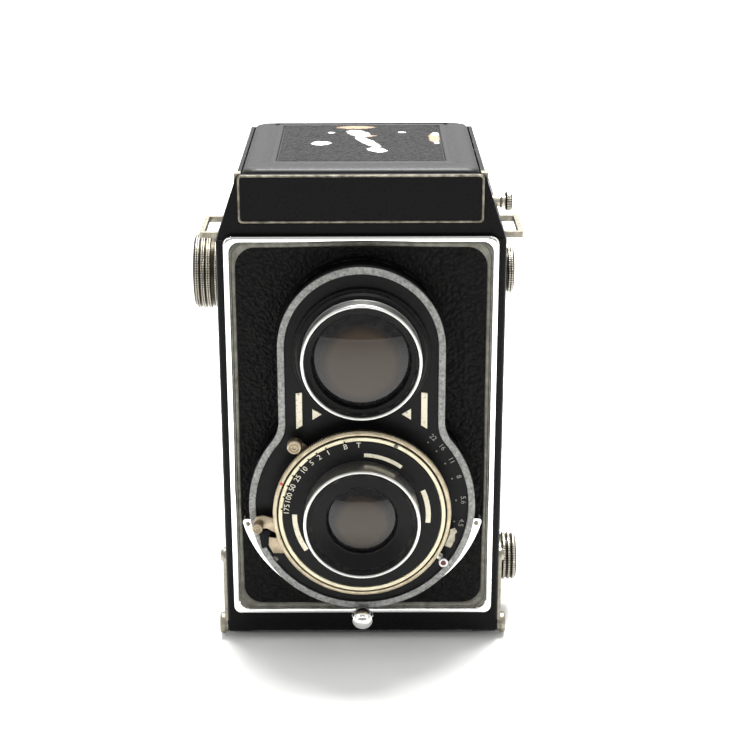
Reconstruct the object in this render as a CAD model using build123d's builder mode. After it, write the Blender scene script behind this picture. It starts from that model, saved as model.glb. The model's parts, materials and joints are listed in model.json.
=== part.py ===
"""Twin lens reflex camera for 6 x 6 cm roll film, in build123d builder mode.

Frame: millimetres, +Z up, the lenses look along -Y, +X to the right seen from the front.
The origin is the centre of the tripod boss, on the plane that the camera stands on.
"""

import os
from math import cos, pi, radians, sin, sqrt, tan

from build123d import *

os.makedirs("parts", exist_ok=True)

# ---------------------------------------------------------------- driving dimensions
# Body
HALF_WIDTH = 38.0
FRONT_Y = -34.0
REAR_Y = 38.0
BODY_BOTTOM_Z = 3.0
SIDE_BOTTOM_Z = 5.0
DECK_TOP_Z = 116.7
WALL = 2.0
LEATHER = 0.6

# Optical axes, both along Y
VIEW_Z = 88.5
TAKE_Z = 45.4

# Lens board
BOARD_Y = -43.0
BOARD_PLATE = 2.0
ARCH_R = 22.0
ARCH_Z = 90.0
BOARD_LOWER_R = 30.4
WAIST_Z = 65.0
SKIRT_WALL = 1.6
SKIRT_GAP = 0.3
FOCUS_TRAVEL = 3.0

# Shutter, measured forwards from the lens board
SHUTTER_R = 22.0
SHUTTER_Y = -49.0
RING_R = 23.7

# Hood
HOOD_TOP_HALF_WIDTH = 32.3
HOOD_TOP_Z = 133.2
HOOD_FRONT_Y = -33.4
HOOD_REAR_Y = 33.0
LID_HALF_WIDTH = 30.9
LID_FRONT_Y = -31.8
LID_REAR_Y = 31.4
LID_BOTTOM_Z = 131.0
LID_TOP_Z = 135.0
LID_ROOF_Z = 134.0
LID_HINGE_Y = -30.6
LID_HINGE_Z = 132.8

# Film transport
TAKE_UP_Y = 24.5
TAKE_UP_Z = 91.8
SUPPLY_Y = -14.0
SUPPLY_Z = 16.6
SPOOL_HALF = 31.0
FLANGE_R = 11.5

# Back door, hinged on a pin under the front edge
DOOR_AXIS_Y = -30.0
DOOR_AXIS_Z = 3.5
KNUCKLE_R = 2.6
BRACKET_T = 0.9
DOOR_PLATE = 1.8
DOOR_BACK_Y = 38.2
DOOR_HALF = 37.7
LATCH_Z = 107.5


def save(name, part):
    """Labels a finished piece and writes it as one STEP file."""
    part.label = name
    export_step(part, f"parts/{name}.step")


def disc_y(radius, y_front, y_rear, x=0.0, z=0.0):
    """A plain disc along Y, as a private solid for cutting or joining."""
    plane = Plane(origin=(x, y_front, z), x_dir=(1, 0, 0), z_dir=(0, 1, 0))
    return Solid.make_cylinder(radius, y_rear - y_front, plane)


def disc_x(radius, x_low, x_high, y=0.0, z=0.0):
    """A plain disc along X."""
    plane = Plane(origin=(x_low, y, z), x_dir=(0, 1, 0), z_dir=(1, 0, 0))
    return Solid.make_cylinder(radius, x_high - x_low, plane)


def block(low, high):
    """A box between two corners, as a private solid."""
    size = [h - l for l, h in zip(low, high)]
    return Solid.make_box(*size, Plane(origin=low))


def facing_front(y):
    """A sketch plane seen from the front: local x is +X, local y is +Z, extrusion goes forwards."""
    return Plane(origin=(0, y, 0), x_dir=(1, 0, 0), z_dir=(0, -1, 0))


def board_outline(inset=0.0):
    """The keyhole outline of the lens board: an arch above, a round below, joined by a waist."""
    arch_r = ARCH_R - inset
    lower_r = BOARD_LOWER_R - inset
    with BuildSketch(mode=Mode.PRIVATE) as outline:
        with Locations((0, ARCH_Z)):
            Circle(arch_r)
        with Locations((0, (ARCH_Z + WAIST_Z) / 2)):
            Rectangle(2 * arch_r, ARCH_Z - WAIST_Z)
        with Locations((0, TAKE_Z)):
            Circle(lower_r)
        waist = [v for v in outline.vertices() if abs(v.Y - WAIST_Z) < 5 and abs(v.X) > 15]
        fillet(waist, 9.0)
    return outline.sketch


OUTLINE = board_outline()
OUTLINE_TRIM_OUT = board_outline(inset=0.05)
OUTLINE_TRIM_IN = board_outline(inset=1.8)
OUTLINE_SKIRT_OUT = board_outline(inset=0.9)
OUTLINE_SKIRT_IN = board_outline(inset=0.9 + SKIRT_WALL)
OUTLINE_SHELL = board_outline(inset=0.9 - SKIRT_GAP)
OUTLINE_LEATHER = board_outline(inset=-0.5)


def ring_y(outer, inner, y_front, y_rear, z, x=0.0):
    """A ring along Y."""
    return disc_y(outer, y_front, y_rear, x, z) - disc_y(inner, y_front - 1, y_rear + 1, x, z)


def ring_x(outer, inner, x_low, x_high, y, z):
    """A ring along X."""
    return disc_x(outer, x_low, x_high, y, z) - disc_x(inner, x_low - 1, x_high + 1, y, z)


# ---------------------------------------------------------------- body casing
chamber_half = HALF_WIDTH - WALL
light_hole_half = 27.0
with BuildPart() as body_shell:
    add(block((-HALF_WIDTH, FRONT_Y, SIDE_BOTTOM_Z), (HALF_WIDTH, REAR_Y, DECK_TOP_Z)))
    fillet(body_shell.edges().filter_by(Axis.Z).group_by(Axis.Y)[0], 1.0)
    add(block((-HALF_WIDTH, FRONT_Y, BODY_BOTTOM_Z), (HALF_WIDTH, FRONT_Y + WALL, SIDE_BOTTOM_Z + 1)))
    # open at the rear and underneath
    add(
        block(
            (-chamber_half, FRONT_Y + WALL, BODY_BOTTOM_Z - 1),
            (chamber_half, REAR_Y + 1, DECK_TOP_Z - WALL),
        ),
        mode=Mode.SUBTRACT,
    )
    # viewing light goes up through the deck
    add(
        block((-light_hole_half, -28, DECK_TOP_Z - WALL - 1), (light_hole_half, 26, DECK_TOP_Z + 1)),
        mode=Mode.SUBTRACT,
    )
    # keyhole that the lens board's skirt slides in
    with BuildSketch(facing_front(FRONT_Y + WALL + 1)):
        add(OUTLINE_SHELL)
    extrude(amount=WALL + 2, mode=Mode.SUBTRACT)
    # room for the door's hinge knuckles
    add(disc_x(KNUCKLE_R + 0.3, -HALF_WIDTH - 1, HALF_WIDTH + 1, DOOR_AXIS_Y, DOOR_AXIS_Z), mode=Mode.SUBTRACT)
    # spindle holes in the side walls
    add(disc_x(3.05, -HALF_WIDTH - 1, -chamber_half + 1, TAKE_UP_Y, TAKE_UP_Z), mode=Mode.SUBTRACT)
    add(disc_x(2.55, chamber_half - 1, HALF_WIDTH + 1, TAKE_UP_Y, TAKE_UP_Z), mode=Mode.SUBTRACT)
    add(disc_x(2.55, chamber_half - 1, HALF_WIDTH + 1, SUPPLY_Y, SUPPLY_Z), mode=Mode.SUBTRACT)
    # keeper behind which the door's turn-button rests
    add(block((-4.0, REAR_Y - 1.9, DECK_TOP_Z), (4.0, REAR_Y, DECK_TOP_Z + 1.4)))
save("body_shell", body_shell.part)

# tripod boss and the bridge across the chamber's floor that carries it
BOSS_R = 12.0

THREAD_R = 3.175
with BuildPart() as tripod_socket:
    with BuildSketch(Plane.XY):
        Circle(BOSS_R)
    extrude(amount=5.2)
    chamfer(tripod_socket.faces().sort_by(Axis.Z)[0].edges(), 0.5)
    add(block((-chamber_half, -4.0, 5.2), (chamber_half, 16.0, 7.2)))
    with BuildSketch(Plane.XY.offset(-1)):
        Circle(THREAD_R)
    extrude(amount=9, mode=Mode.SUBTRACT)
save("tripod_socket", tripod_socket.part)

# ---------------------------------------------------------------- light tunnel and film gate
GATE = 28.0
TUNNEL_FRONT_Y = -27.0
GATE_Y = 28.0
with BuildPart() as taking_box:
    with BuildSketch(Plane(origin=(0, TUNNEL_FRONT_Y, TAKE_Z), x_dir=(1, 0, 0), z_dir=(0, 1, 0))):
        Rectangle(30, 22)
    with BuildSketch(Plane(origin=(0, GATE_Y, TAKE_Z), x_dir=(1, 0, 0), z_dir=(0, 1, 0))):
        Rectangle(2 * GATE + 3, 2 * GATE + 3)
    loft()
    # film gate frame reaches the side walls
    add(block((-chamber_half, GATE_Y - 2, TAKE_Z - GATE - 3), (chamber_half, GATE_Y + 1, TAKE_Z + GATE + 3)))
    with BuildSketch(Plane(origin=(0, TUNNEL_FRONT_Y - 0.01, TAKE_Z), x_dir=(1, 0, 0), z_dir=(0, 1, 0))):
        Rectangle(27, 19)
    with BuildSketch(Plane(origin=(0, GATE_Y + 1.01, TAKE_Z), x_dir=(1, 0, 0), z_dir=(0, 1, 0))):
        Rectangle(2 * GATE, 2 * GATE)
    loft(mode=Mode.SUBTRACT)
    # the two rails that the film runs on
    for side in (-1, 1):
        add(
            block(
                (min(side * 29, side * 31.5), GATE_Y + 1, TAKE_Z - GATE - 3),
                (max(side * 29, side * 31.5), GATE_Y + 1.5, TAKE_Z + GATE + 3),
            )
        )
save("taking_box", taking_box.part)

# ---------------------------------------------------------------- reflex mirror and its bed
MIRROR_HALF = 26.0
MIRROR_Y = -1.5
mirror_plane = Plane(origin=(0, MIRROR_Y, VIEW_Z), x_dir=(1, 0, 0), z_dir=(0, -sin(pi / 4), cos(pi / 4)))
with BuildPart() as reflex_mirror:
    with BuildSketch(mirror_plane):
        Rectangle(2 * MIRROR_HALF, 58)
    extrude(amount=-1.5)
save("reflex_mirror", reflex_mirror.part)

with BuildPart() as mirror_bed:
    with BuildSketch(mirror_plane.offset(-1.5)):
        Rectangle(2 * chamber_half, 60)
    extrude(amount=-1.2)
    # folded-up lips hold the mirror's long edges
    for side in (-1, 1):
        with BuildSketch(mirror_plane.offset(-1.5)):
            with Locations((side * (MIRROR_HALF + 0.9), 0)):
                Rectangle(1.4, 60)
        extrude(amount=2.2)
save("mirror_bed", mirror_bed.part)

# ---------------------------------------------------------------- coverings and chrome bezel
with BuildPart() as front_leather:
    with BuildSketch(facing_front(FRONT_Y)):
        with Locations((0, 62.2)):
            RectangleRounded(2 * 33.9, 106.0, 5.0)
        add(OUTLINE_LEATHER, mode=Mode.SUBTRACT)
    extrude(amount=LEATHER)
save("front_leather", front_leather.part)

BEZEL_HALF = 36.0
BEZEL_BOTTOM_Z = 9.0
BEZEL_TOP_Z = 118.0
bezel_mid_z = (BEZEL_BOTTOM_Z + BEZEL_TOP_Z) / 2
bezel_h = BEZEL_TOP_Z - BEZEL_BOTTOM_Z
with BuildPart() as front_bezel:
    with BuildSketch(facing_front(FRONT_Y)):
        with Locations((0, bezel_mid_z)):
            RectangleRounded(2 * BEZEL_HALF, bezel_h, 2.0)
            RectangleRounded(2 * BEZEL_HALF - 4.2, bezel_h - 4.2, 4.2, mode=Mode.SUBTRACT)
    extrude(amount=1.5)
    with BuildSketch(facing_front(FRONT_Y)):
        with Locations((0, bezel_mid_z)):
            RectangleRounded(2 * BEZEL_HALF - 4.0, bezel_h - 4.0, 4.3)
        with Locations((0, bezel_mid_z - 0.2)):
            RectangleRounded(2 * BEZEL_HALF - 6.6, bezel_h - 7.0, 5.6, mode=Mode.SUBTRACT)
        add(OUTLINE_LEATHER, mode=Mode.SUBTRACT)
    extrude(amount=0.9)
    add(front_leather.part, mode=Mode.SUBTRACT)
save("front_bezel", front_bezel.part)

with BuildPart() as side_leathers:
    for side in (-1, 1):
        x_low = min(side * HALF_WIDTH, side * (HALF_WIDTH + LEATHER))
        add(
            block((x_low, -27.2, 8.0), (x_low + LEATHER, REAR_Y - 3, DECK_TOP_Z - 9.0))
        )
    add(disc_x(13.0, -HALF_WIDTH - 2, -HALF_WIDTH + 1, TAKE_UP_Y, TAKE_UP_Z), mode=Mode.SUBTRACT)
    add(disc_x(8.0, HALF_WIDTH - 1, HALF_WIDTH + 2, TAKE_UP_Y, TAKE_UP_Z), mode=Mode.SUBTRACT)
    add(disc_x(8.5, HALF_WIDTH - 1, HALF_WIDTH + 2, SUPPLY_Y, SUPPLY_Z), mode=Mode.SUBTRACT)
save("side_leathers", side_leathers.part)

# ---------------------------------------------------------------- strap lugs
LUG_Z = 112.3
LUG_OUT = 6.0
with BuildPart() as strap_lugs:
    for side in (-1, 1):
        with BuildSketch(Plane.XY.offset(LUG_Z)):
            with Locations((side * (HALF_WIDTH + LUG_OUT / 2), -6.0)):
                Rectangle(LUG_OUT, 19.0)
            with Locations((side * (HALF_WIDTH + (LUG_OUT - 1.4) / 2), -6.0)):
                Rectangle(LUG_OUT - 1.4, 16.0, mode=Mode.SUBTRACT)
        extrude(amount=1.6)
    fillet(strap_lugs.edges().filter_by(Axis.Z).filter_by(lambda e: abs(e.center().X) > 43.5), 1.0)
save("strap_lugs", strap_lugs.part)

# ---------------------------------------------------------------- door hinge brackets and pivots
with BuildPart() as hinge_brackets:
    for side in (-1, 1):
        x0 = HALF_WIDTH if side > 0 else -HALF_WIDTH - BRACKET_T
        add(block((x0, DOOR_AXIS_Y - 2.2, DOOR_AXIS_Z), (x0 + BRACKET_T, DOOR_AXIS_Y + 2.2, 24.6)))
        add(disc_x(2.2, x0, x0 + BRACKET_T, DOOR_AXIS_Y, 24.6))
        add(disc_x(2.6, x0, x0 + BRACKET_T, DOOR_AXIS_Y, DOOR_AXIS_Z))
    add(disc_x(1.5, -50, 50, DOOR_AXIS_Y, DOOR_AXIS_Z), mode=Mode.SUBTRACT)
    for side in (-1, 1):
        head = Plane(origin=(side * (HALF_WIDTH + BRACKET_T), DOOR_AXIS_Y, 24.6), x_dir=(0, 1, 0), z_dir=(side, 0, 0))
        with BuildSketch(head):
            Circle(1.9)
        extrude(amount=0.7, taper=35)
save("hinge_brackets", hinge_brackets.part)


with BuildPart() as door_pivots:
    for side in (-1, 1):
        x_in, x_out = side * 31.0, side * (HALF_WIDTH + BRACKET_T)
        add(disc_x(1.5, min(x_in, x_out), max(x_in, x_out), DOOR_AXIS_Y, DOOR_AXIS_Z))
        x_head = side * (HALF_WIDTH + BRACKET_T + 1.5)
        add(disc_x(3.0, min(x_head, x_out), max(x_head, x_out), DOOR_AXIS_Y, DOOR_AXIS_Z))
    fillet(
        door_pivots.edges().filter_by(GeomType.CIRCLE).filter_by(lambda e: abs(e.center().X) > 40 and e.radius > 2.9), 0.6
    )
save("door_pivots", door_pivots.part)

# ---------------------------------------------------------------- door: its floor and its back plate
door_top_z = DECK_TOP_Z - 0.2
door_face_y = DOOR_BACK_Y + DOOR_PLATE
COVER_PIVOT_Z = 36.0
with BuildPart() as door_floor:
    add(
        block(
            (-DOOR_HALF, DOOR_AXIS_Y - 1.7, BODY_BOTTOM_Z),
            (DOOR_HALF, DOOR_BACK_Y, BODY_BOTTOM_Z + DOOR_PLATE),
        )
    )
    # hinge knuckles
    for side in (-1, 1):
        add(
            disc_x(
                KNUCKLE_R, min(side * 31.0, side * 37.7), max(side * 31.0, side * 37.7), DOOR_AXIS_Y, DOOR_AXIS_Z
            )
        )
    add(disc_x(1.55, -50, -30.8, DOOR_AXIS_Y, DOOR_AXIS_Z), mode=Mode.SUBTRACT)
    add(disc_x(1.55, 30.8, 50, DOOR_AXIS_Y, DOOR_AXIS_Z), mode=Mode.SUBTRACT)
    # opening round the tripod boss
    with BuildSketch(Plane.XY.offset(BODY_BOTTOM_Z - 1)):
        Circle(BOSS_R + 0.8)
    extrude(amount=DOOR_PLATE + 2, mode=Mode.SUBTRACT)
    # two feet pressed out of the bottom
    with BuildSketch(Plane.XY):
        with Locations((-29, 31), (29, 31)):
            Circle(4.0)
    extrude(amount=BODY_BOTTOM_Z + 0.5)
    fillet(door_floor.edges().filter_by(GeomType.CIRCLE).group_by(Axis.Z)[0], 0.8)
save("door_floor", door_floor.part)

with BuildPart() as back_door:
    add(
        block(
            (-DOOR_HALF, DOOR_BACK_Y, BODY_BOTTOM_Z),
            (DOOR_HALF, DOOR_BACK_Y + DOOR_PLATE, door_top_z),
        )
    )
    fillet(back_door.edges().filter_by(Axis.X).sort_by(lambda e: e.center().Z - e.center().Y)[0], 1.4)
    # light-trap lips that enter the casing
    for side in (-1, 1):
        x_low = min(side * (chamber_half - 0.3), side * (chamber_half - 1.3))
        add(block((x_low, DOOR_BACK_Y - 2.0, 8.0), (x_low + 1.0, DOOR_BACK_Y, DECK_TOP_Z - WALL - 0.6)))
    # red window
    add(disc_y(4.0, DOOR_BACK_Y - 1, DOOR_BACK_Y + DOOR_PLATE + 1, 0, 30.0), mode=Mode.SUBTRACT)
save("back_door", back_door.part)

with BuildPart() as door_leather:
    add(
        block(
            (-34.5, DOOR_BACK_Y + DOOR_PLATE, 9.0),
            (34.5, DOOR_BACK_Y + DOOR_PLATE + LEATHER, DECK_TOP_Z - 15.0),
        )
    )
    fillet(door_leather.edges().filter_by(Axis.Y), 3.0)
    add(disc_y(12.6, 30, 50, 0, COVER_PIVOT_Z), mode=Mode.SUBTRACT)
save("door_leather", door_leather.part)


with BuildPart() as ruby_window:
    add(disc_y(4.0, DOOR_BACK_Y + 0.3, DOOR_BACK_Y + 1.5, 0, 30.0))
save("ruby_window", ruby_window.part)

with BuildPart() as window_cover:
    plane = Plane(origin=(0, door_face_y + 0.1, 0), x_dir=(-1, 0, 0), z_dir=(0, 1, 0))
    with BuildSketch(plane):
        with Locations((0, 30.0)):
            Circle(5.6)
        with Locations((0, COVER_PIVOT_Z)):
            Circle(2.0)
        with BuildLine():
            Polyline((-2, COVER_PIVOT_Z), (2, COVER_PIVOT_Z), (4.6, 32.0), (-4.6, 32.0), close=True)
        make_face()
        with Locations((0, COVER_PIVOT_Z)):
            Circle(0.85, mode=Mode.SUBTRACT)
    extrude(amount=0.8)
    with BuildSketch(plane.offset(0.8)):
        with Locations((0, 25.8)):
            Rectangle(4.0, 1.0)
    extrude(amount=0.9)
save("window_cover", window_cover.part)


with BuildPart() as door_pins:
    add(disc_y(0.8, door_face_y, door_face_y + 1.0, 0, COVER_PIVOT_Z))
    add(disc_y(1.6, door_face_y + 1.0, door_face_y + 1.7, 0, COVER_PIVOT_Z))
    add(disc_y(1.5, door_face_y, door_face_y + 2.9, 0, LATCH_Z))
    add(disc_y(1.9, door_face_y + 2.9, door_face_y + 3.5, 0, LATCH_Z))
save("door_pins", door_pins.part)

# pressure plate held off the door by two bowed leaf springs
PLATE_Y = GATE_Y + 3.2
with BuildPart() as pressure_plate:
    add(block((-31.5, PLATE_Y, TAKE_Z - 31), (31.5, PLATE_Y + 1.4, TAKE_Z + 31)))
    fillet(pressure_plate.edges().filter_by(Axis.Y), 3.0)
save("pressure_plate", pressure_plate.part)

spring_gap = DOOR_BACK_Y - (PLATE_Y + 1.4)
with BuildPart() as plate_springs:
    for z_mid in (TAKE_Z - 18, TAKE_Z + 18):
        bow = Plane(origin=(0, 0, z_mid - 3), x_dir=(1, 0, 0), z_dir=(0, 0, 1))
        with BuildSketch(bow):
            with BuildLine():
                ThreePointArc((-18, PLATE_Y + 1.8), (0, DOOR_BACK_Y - 0.35), (18, PLATE_Y + 1.8))
                Line((18, PLATE_Y + 1.8), (18, PLATE_Y + 1.45))
                ThreePointArc((18, PLATE_Y + 1.45), (0, DOOR_BACK_Y - 0.7), (-18, PLATE_Y + 1.45))
                Line((-18, PLATE_Y + 1.45), (-18, PLATE_Y + 1.8))
            make_face()
        extrude(amount=6)
        add(disc_y(2.0, DOOR_BACK_Y - 0.5, DOOR_BACK_Y, 0, z_mid))
save("plate_springs", plate_springs.part)

# turn-button that keeps the door shut, on the door's top edge
with BuildPart() as door_latch:
    plane = Plane(origin=(0, door_face_y + 0.1, 0), x_dir=(-1, 0, 0), z_dir=(0, 1, 0))
    with BuildSketch(plane):
        with Locations((0, LATCH_Z)):
            Circle(5.0)
        with Locations((0, LATCH_Z + 5.0)):
            Rectangle(6.0, 10.6)
        with Locations((0, LATCH_Z)):
            Circle(1.55, mode=Mode.SUBTRACT)
    extrude(amount=1.2)
    with BuildSketch(plane.offset(1.2)):
        with Locations((0, LATCH_Z)):
            SlotOverall(9.0, 2.4, rotation=90)
            Circle(1.55, mode=Mode.SUBTRACT)
    extrude(amount=1.6)
save("door_latch", door_latch.part)



# ---------------------------------------------------------------- viewing hood, base and screen
with BuildPart() as hood_base:
    with BuildSketch(Plane.XY.offset(DECK_TOP_Z)):
        with Locations((0, (HOOD_FRONT_Y + 36.0) / 2)):
            Rectangle(2 * HALF_WIDTH - 0.6, 36.0 - HOOD_FRONT_Y)
    with BuildSketch(Plane.XY.offset(HOOD_TOP_Z)):
        with Locations((0, (HOOD_FRONT_Y + HOOD_REAR_Y) / 2)):
            Rectangle(2 * HOOD_TOP_HALF_WIDTH, HOOD_REAR_Y - HOOD_FRONT_Y)
    loft()
    with BuildSketch(Plane.XY.offset(DECK_TOP_Z - 0.01)):
        with Locations((0, (-31.9 + 34.0) / 2)):
            Rectangle(2 * 36.3, 34.0 + 31.9)
    with BuildSketch(Plane.XY.offset(HOOD_TOP_Z + 0.01)):
        with Locations((0, (-31.9 + 31.8) / 2)):
            Rectangle(2 * 31.3, 31.8 + 31.9)
    loft(mode=Mode.SUBTRACT)
    # the lid's front edge rolls down into this cut when it opens
    add(block((-31.3, -36, 129.8), (31.3, -29, 136)), mode=Mode.SUBTRACT)
    # hole for the counter's stem
    add(disc_x(1.65, 30, 45, 1.0, 118.5), mode=Mode.SUBTRACT)
save("hood_base", hood_base.part)

PLATE_HALF = 31.8
with BuildPart() as nameplate:
    add(block((-PLATE_HALF, -35.0, 121.4), (PLATE_HALF, -33.4, 134.1)))
    fillet(nameplate.edges().filter_by(Axis.Y), 0.8)
save("nameplate", nameplate.part)


with BuildPart() as ground_glass:
    add(block((-28.5, -29.5, DECK_TOP_Z), (28.5, 27.5, DECK_TOP_Z + 1.8)))
save("ground_glass", ground_glass.part)

with BuildPart() as screen_frame:
    add(block((-30.5, -31.2, DECK_TOP_Z), (30.5, 29.5, DECK_TOP_Z + 2.6)))
    add(block((-27.5, -28.5, DECK_TOP_Z - 1), (27.5, 26.5, DECK_TOP_Z + 4)), mode=Mode.SUBTRACT)
    add(ground_glass.part, mode=Mode.SUBTRACT)
save("screen_frame", screen_frame.part)

# ---------------------------------------------------------------- lid, hinged along its front edge
lid_floor = LID_BOTTOM_Z
with BuildPart() as hood_lid:
    add(block((-LID_HALF_WIDTH, LID_FRONT_Y, lid_floor), (LID_HALF_WIDTH, LID_REAR_Y, LID_TOP_Z)))
    fillet(hood_lid.edges().filter_by(Axis.Z), 2.0)
    fillet(hood_lid.faces().sort_by(Axis.Z)[-1].edges(), 0.9)
    add(
        block(
            (-LID_HALF_WIDTH + 1, LID_FRONT_Y + 2.6, lid_floor - 1),
            (LID_HALF_WIDTH - 1, LID_REAR_Y - 1, LID_ROOF_Z),
        ),
        mode=Mode.SUBTRACT,
    )
    # recess for the leather panel
    add(block((-22.2, -21.7, LID_TOP_Z - 0.5), (22.2, 25.8, LID_TOP_Z + 1)), mode=Mode.SUBTRACT)
    add(disc_x(0.65, -40, 40, LID_HINGE_Y, LID_HINGE_Z), mode=Mode.SUBTRACT)
save("hood_lid", hood_lid.part)

with BuildPart() as lid_leather:
    add(block((-20.7, -20.2, LID_TOP_Z - 0.5), (20.7, 24.3, LID_TOP_Z - 0.1)))
save("lid_leather", lid_leather.part)


# folded magnifier, held flat against the lid's underside
MAG_Y = 6.0
with BuildPart() as magnifier_frame:
    add(block((-11.0, -5.0, LID_ROOF_Z - 0.8), (11.0, 18.0, LID_ROOF_Z)))
    add(block((-11.0, 17.0, LID_ROOF_Z - 1.8), (11.0, 18.0, LID_ROOF_Z - 0.8)))
    with BuildSketch(Plane.XY.offset(LID_ROOF_Z - 2)):
        with Locations((0, MAG_Y)):
            Circle(9.5)
    extrude(amount=3, mode=Mode.SUBTRACT)
save("magnifier_frame", magnifier_frame.part)

with BuildPart() as magnifier_lens:
    with BuildSketch(Plane.XY.offset(LID_ROOF_Z - 1.2)):
        with Locations((0, MAG_Y)):
            Circle(9.5)
    extrude(amount=1.2)
save("magnifier_lens", magnifier_lens.part)

# ---------------------------------------------------------------- the three other leaves of the hood
SIDE_HINGE_X = 29.4
SIDE_HINGE_Z = 129.0
REAR_HINGE_Y = 29.6
REAR_HINGE_Z = 126.6
LEAF_T = 0.5
LEAF_SPAN = 28.8
LEAF_FRONT_Y = -27.5
LEAF_REAR_Y = 28.6
BARREL_R = 0.9
PIN_R = 0.45


def side_leaf(side):
    """One folded side leaf: a barrel on its pin and a sheet reaching towards the middle."""
    front_full = LID_HINGE_Y + 21.5
    with BuildPart(mode=Mode.PRIVATE) as leaf:
        with BuildSketch(Plane.XY.offset(SIDE_HINGE_Z - LEAF_T / 2)):
            with BuildLine():
                Polyline(
                    (side * SIDE_HINGE_X, LEAF_FRONT_Y),
                    (side * (SIDE_HINGE_X - 4), LEAF_FRONT_Y),
                    (side * (SIDE_HINGE_X - LEAF_SPAN), front_full),
                    (side * (SIDE_HINGE_X - LEAF_SPAN), LEAF_REAR_Y),
                    (side * SIDE_HINGE_X, LEAF_REAR_Y),
                    close=True,
                )
            make_face()
        extrude(amount=LEAF_T)
        add(disc_y(BARREL_R, LEAF_FRONT_Y, LEAF_REAR_Y, side * SIDE_HINGE_X, SIDE_HINGE_Z))
        add(disc_y(PIN_R + 0.05, -60, 60, side * SIDE_HINGE_X, SIDE_HINGE_Z), mode=Mode.SUBTRACT)
    return leaf.part


left_leaf_shape = side_leaf(-1)
right_leaf_shape = side_leaf(1)
with BuildPart() as side_leaf_left:
    add(left_leaf_shape)
save("side_leaf_left", side_leaf_left.part)

with BuildPart() as side_leaf_right:
    add(right_leaf_shape)
save("side_leaf_right", side_leaf_right.part)

with BuildPart() as rear_leaf:
    with BuildSketch(Plane.XY.offset(REAR_HINGE_Z - LEAF_T / 2)):
        with BuildLine():
            Polyline(
                (-27.6, REAR_HINGE_Y),
                (27.6, REAR_HINGE_Y),
                (1.5, REAR_HINGE_Y - 26.1),
                (-1.5, REAR_HINGE_Y - 26.1),
                close=True,
            )
        make_face()
    extrude(amount=LEAF_T)
    add(disc_x(BARREL_R, -27.6, 27.6, REAR_HINGE_Y, REAR_HINGE_Z))
    add(disc_x(PIN_R + 0.05, -60, 60, REAR_HINGE_Y, REAR_HINGE_Z), mode=Mode.SUBTRACT)
save("rear_leaf", rear_leaf.part)

with BuildPart() as hood_pins:
    add(disc_x(0.6, -31.9, 31.9, LID_HINGE_Y, LID_HINGE_Z))
    # two ears carry the lid pin's ends above the base's cut-away front
    for side in (-1, 1):
        add(block((min(side * 31.1, side * 32.9), -32.0, 128.6), (max(side * 31.1, side * 32.9), -29.2, 133.9)))
    for side in (-1, 1):
        add(disc_y(PIN_R, -33.0, 32.8, side * SIDE_HINGE_X, SIDE_HINGE_Z))
    add(disc_x(PIN_R, -34.0, 34.0, REAR_HINGE_Y, REAR_HINGE_Z))
    add(hood_base.part, mode=Mode.SUBTRACT)
save("hood_pins", hood_pins.part)

# ---------------------------------------------------------------- lens board and what it carries
VIEW_HOLE_R = 12.4
TAKE_HOLE_R = 10.4
board_rear = BOARD_Y + BOARD_PLATE
skirt_rear = -29.6
with BuildPart() as lens_board:
    with BuildSketch(facing_front(board_rear)):
        add(OUTLINE)
    extrude(amount=BOARD_PLATE)
    with BuildSketch(facing_front(skirt_rear)):
        add(OUTLINE_SKIRT_OUT)
        add(OUTLINE_SKIRT_IN, mode=Mode.SUBTRACT)
    extrude(amount=skirt_rear - board_rear)
    add(disc_y(VIEW_HOLE_R, BOARD_Y - 1, board_rear + 1, 0, VIEW_Z), mode=Mode.SUBTRACT)
    add(disc_y(TAKE_HOLE_R, BOARD_Y - 1, board_rear + 1, 0, TAKE_Z), mode=Mode.SUBTRACT)
save("lens_board", lens_board.part)

with BuildPart() as board_trim:
    with BuildSketch(facing_front(BOARD_Y)):
        add(OUTLINE_TRIM_OUT)
        add(OUTLINE_TRIM_IN, mode=Mode.SUBTRACT)
    extrude(amount=0.7)
save("board_trim", board_trim.part)

with BuildPart() as board_inlays:
    for side in (-1, 1):
        with BuildSketch(facing_front(BOARD_Y)):
            with BuildLine():
                Polyline(
                    (side * 15.7, 68.6),
                    (side * 17.3, 67.6),
                    (side * 17.3, 77.6),
                    (side * 15.7, 77.8),
                    close=True,
                )
            make_face()
        extrude(amount=0.3)
        with BuildSketch(facing_front(BOARD_Y)):
            with BuildLine():
                Polyline((side * 13.0, 70.2), (side * 13.0, 73.2), (side * 10.6, 71.7), close=True)
            make_face()
        extrude(amount=0.3)
save("board_inlays", board_inlays.part)

# viewing lens
VIEW_FACE_Y = -51.1
with BuildPart() as viewing_collar:
    with BuildSketch(facing_front(BOARD_Y)):
        with Locations((0, VIEW_Z)):
            Circle(18.0)
            Circle(13.6, mode=Mode.SUBTRACT)
    extrude(amount=1.4)
    with BuildSketch(facing_front(BOARD_Y - 1.4)):
        with Locations((0, VIEW_Z)):
            Circle(17.2)
            Circle(13.6, mode=Mode.SUBTRACT)
    extrude(amount=1.6)
    chamfer(viewing_collar.faces().sort_by(Axis.Y)[0].outer_wire().edges(), 0.6)
save("viewing_collar", viewing_collar.part)

with BuildPart() as viewing_rim:
    add(ring_y(15.7, 14.8, VIEW_FACE_Y, BOARD_Y - 3.0, VIEW_Z))
    fillet(viewing_rim.edges().filter_by(GeomType.CIRCLE).group_by(Axis.Y)[0], 0.35)
save("viewing_rim", viewing_rim.part)

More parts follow.
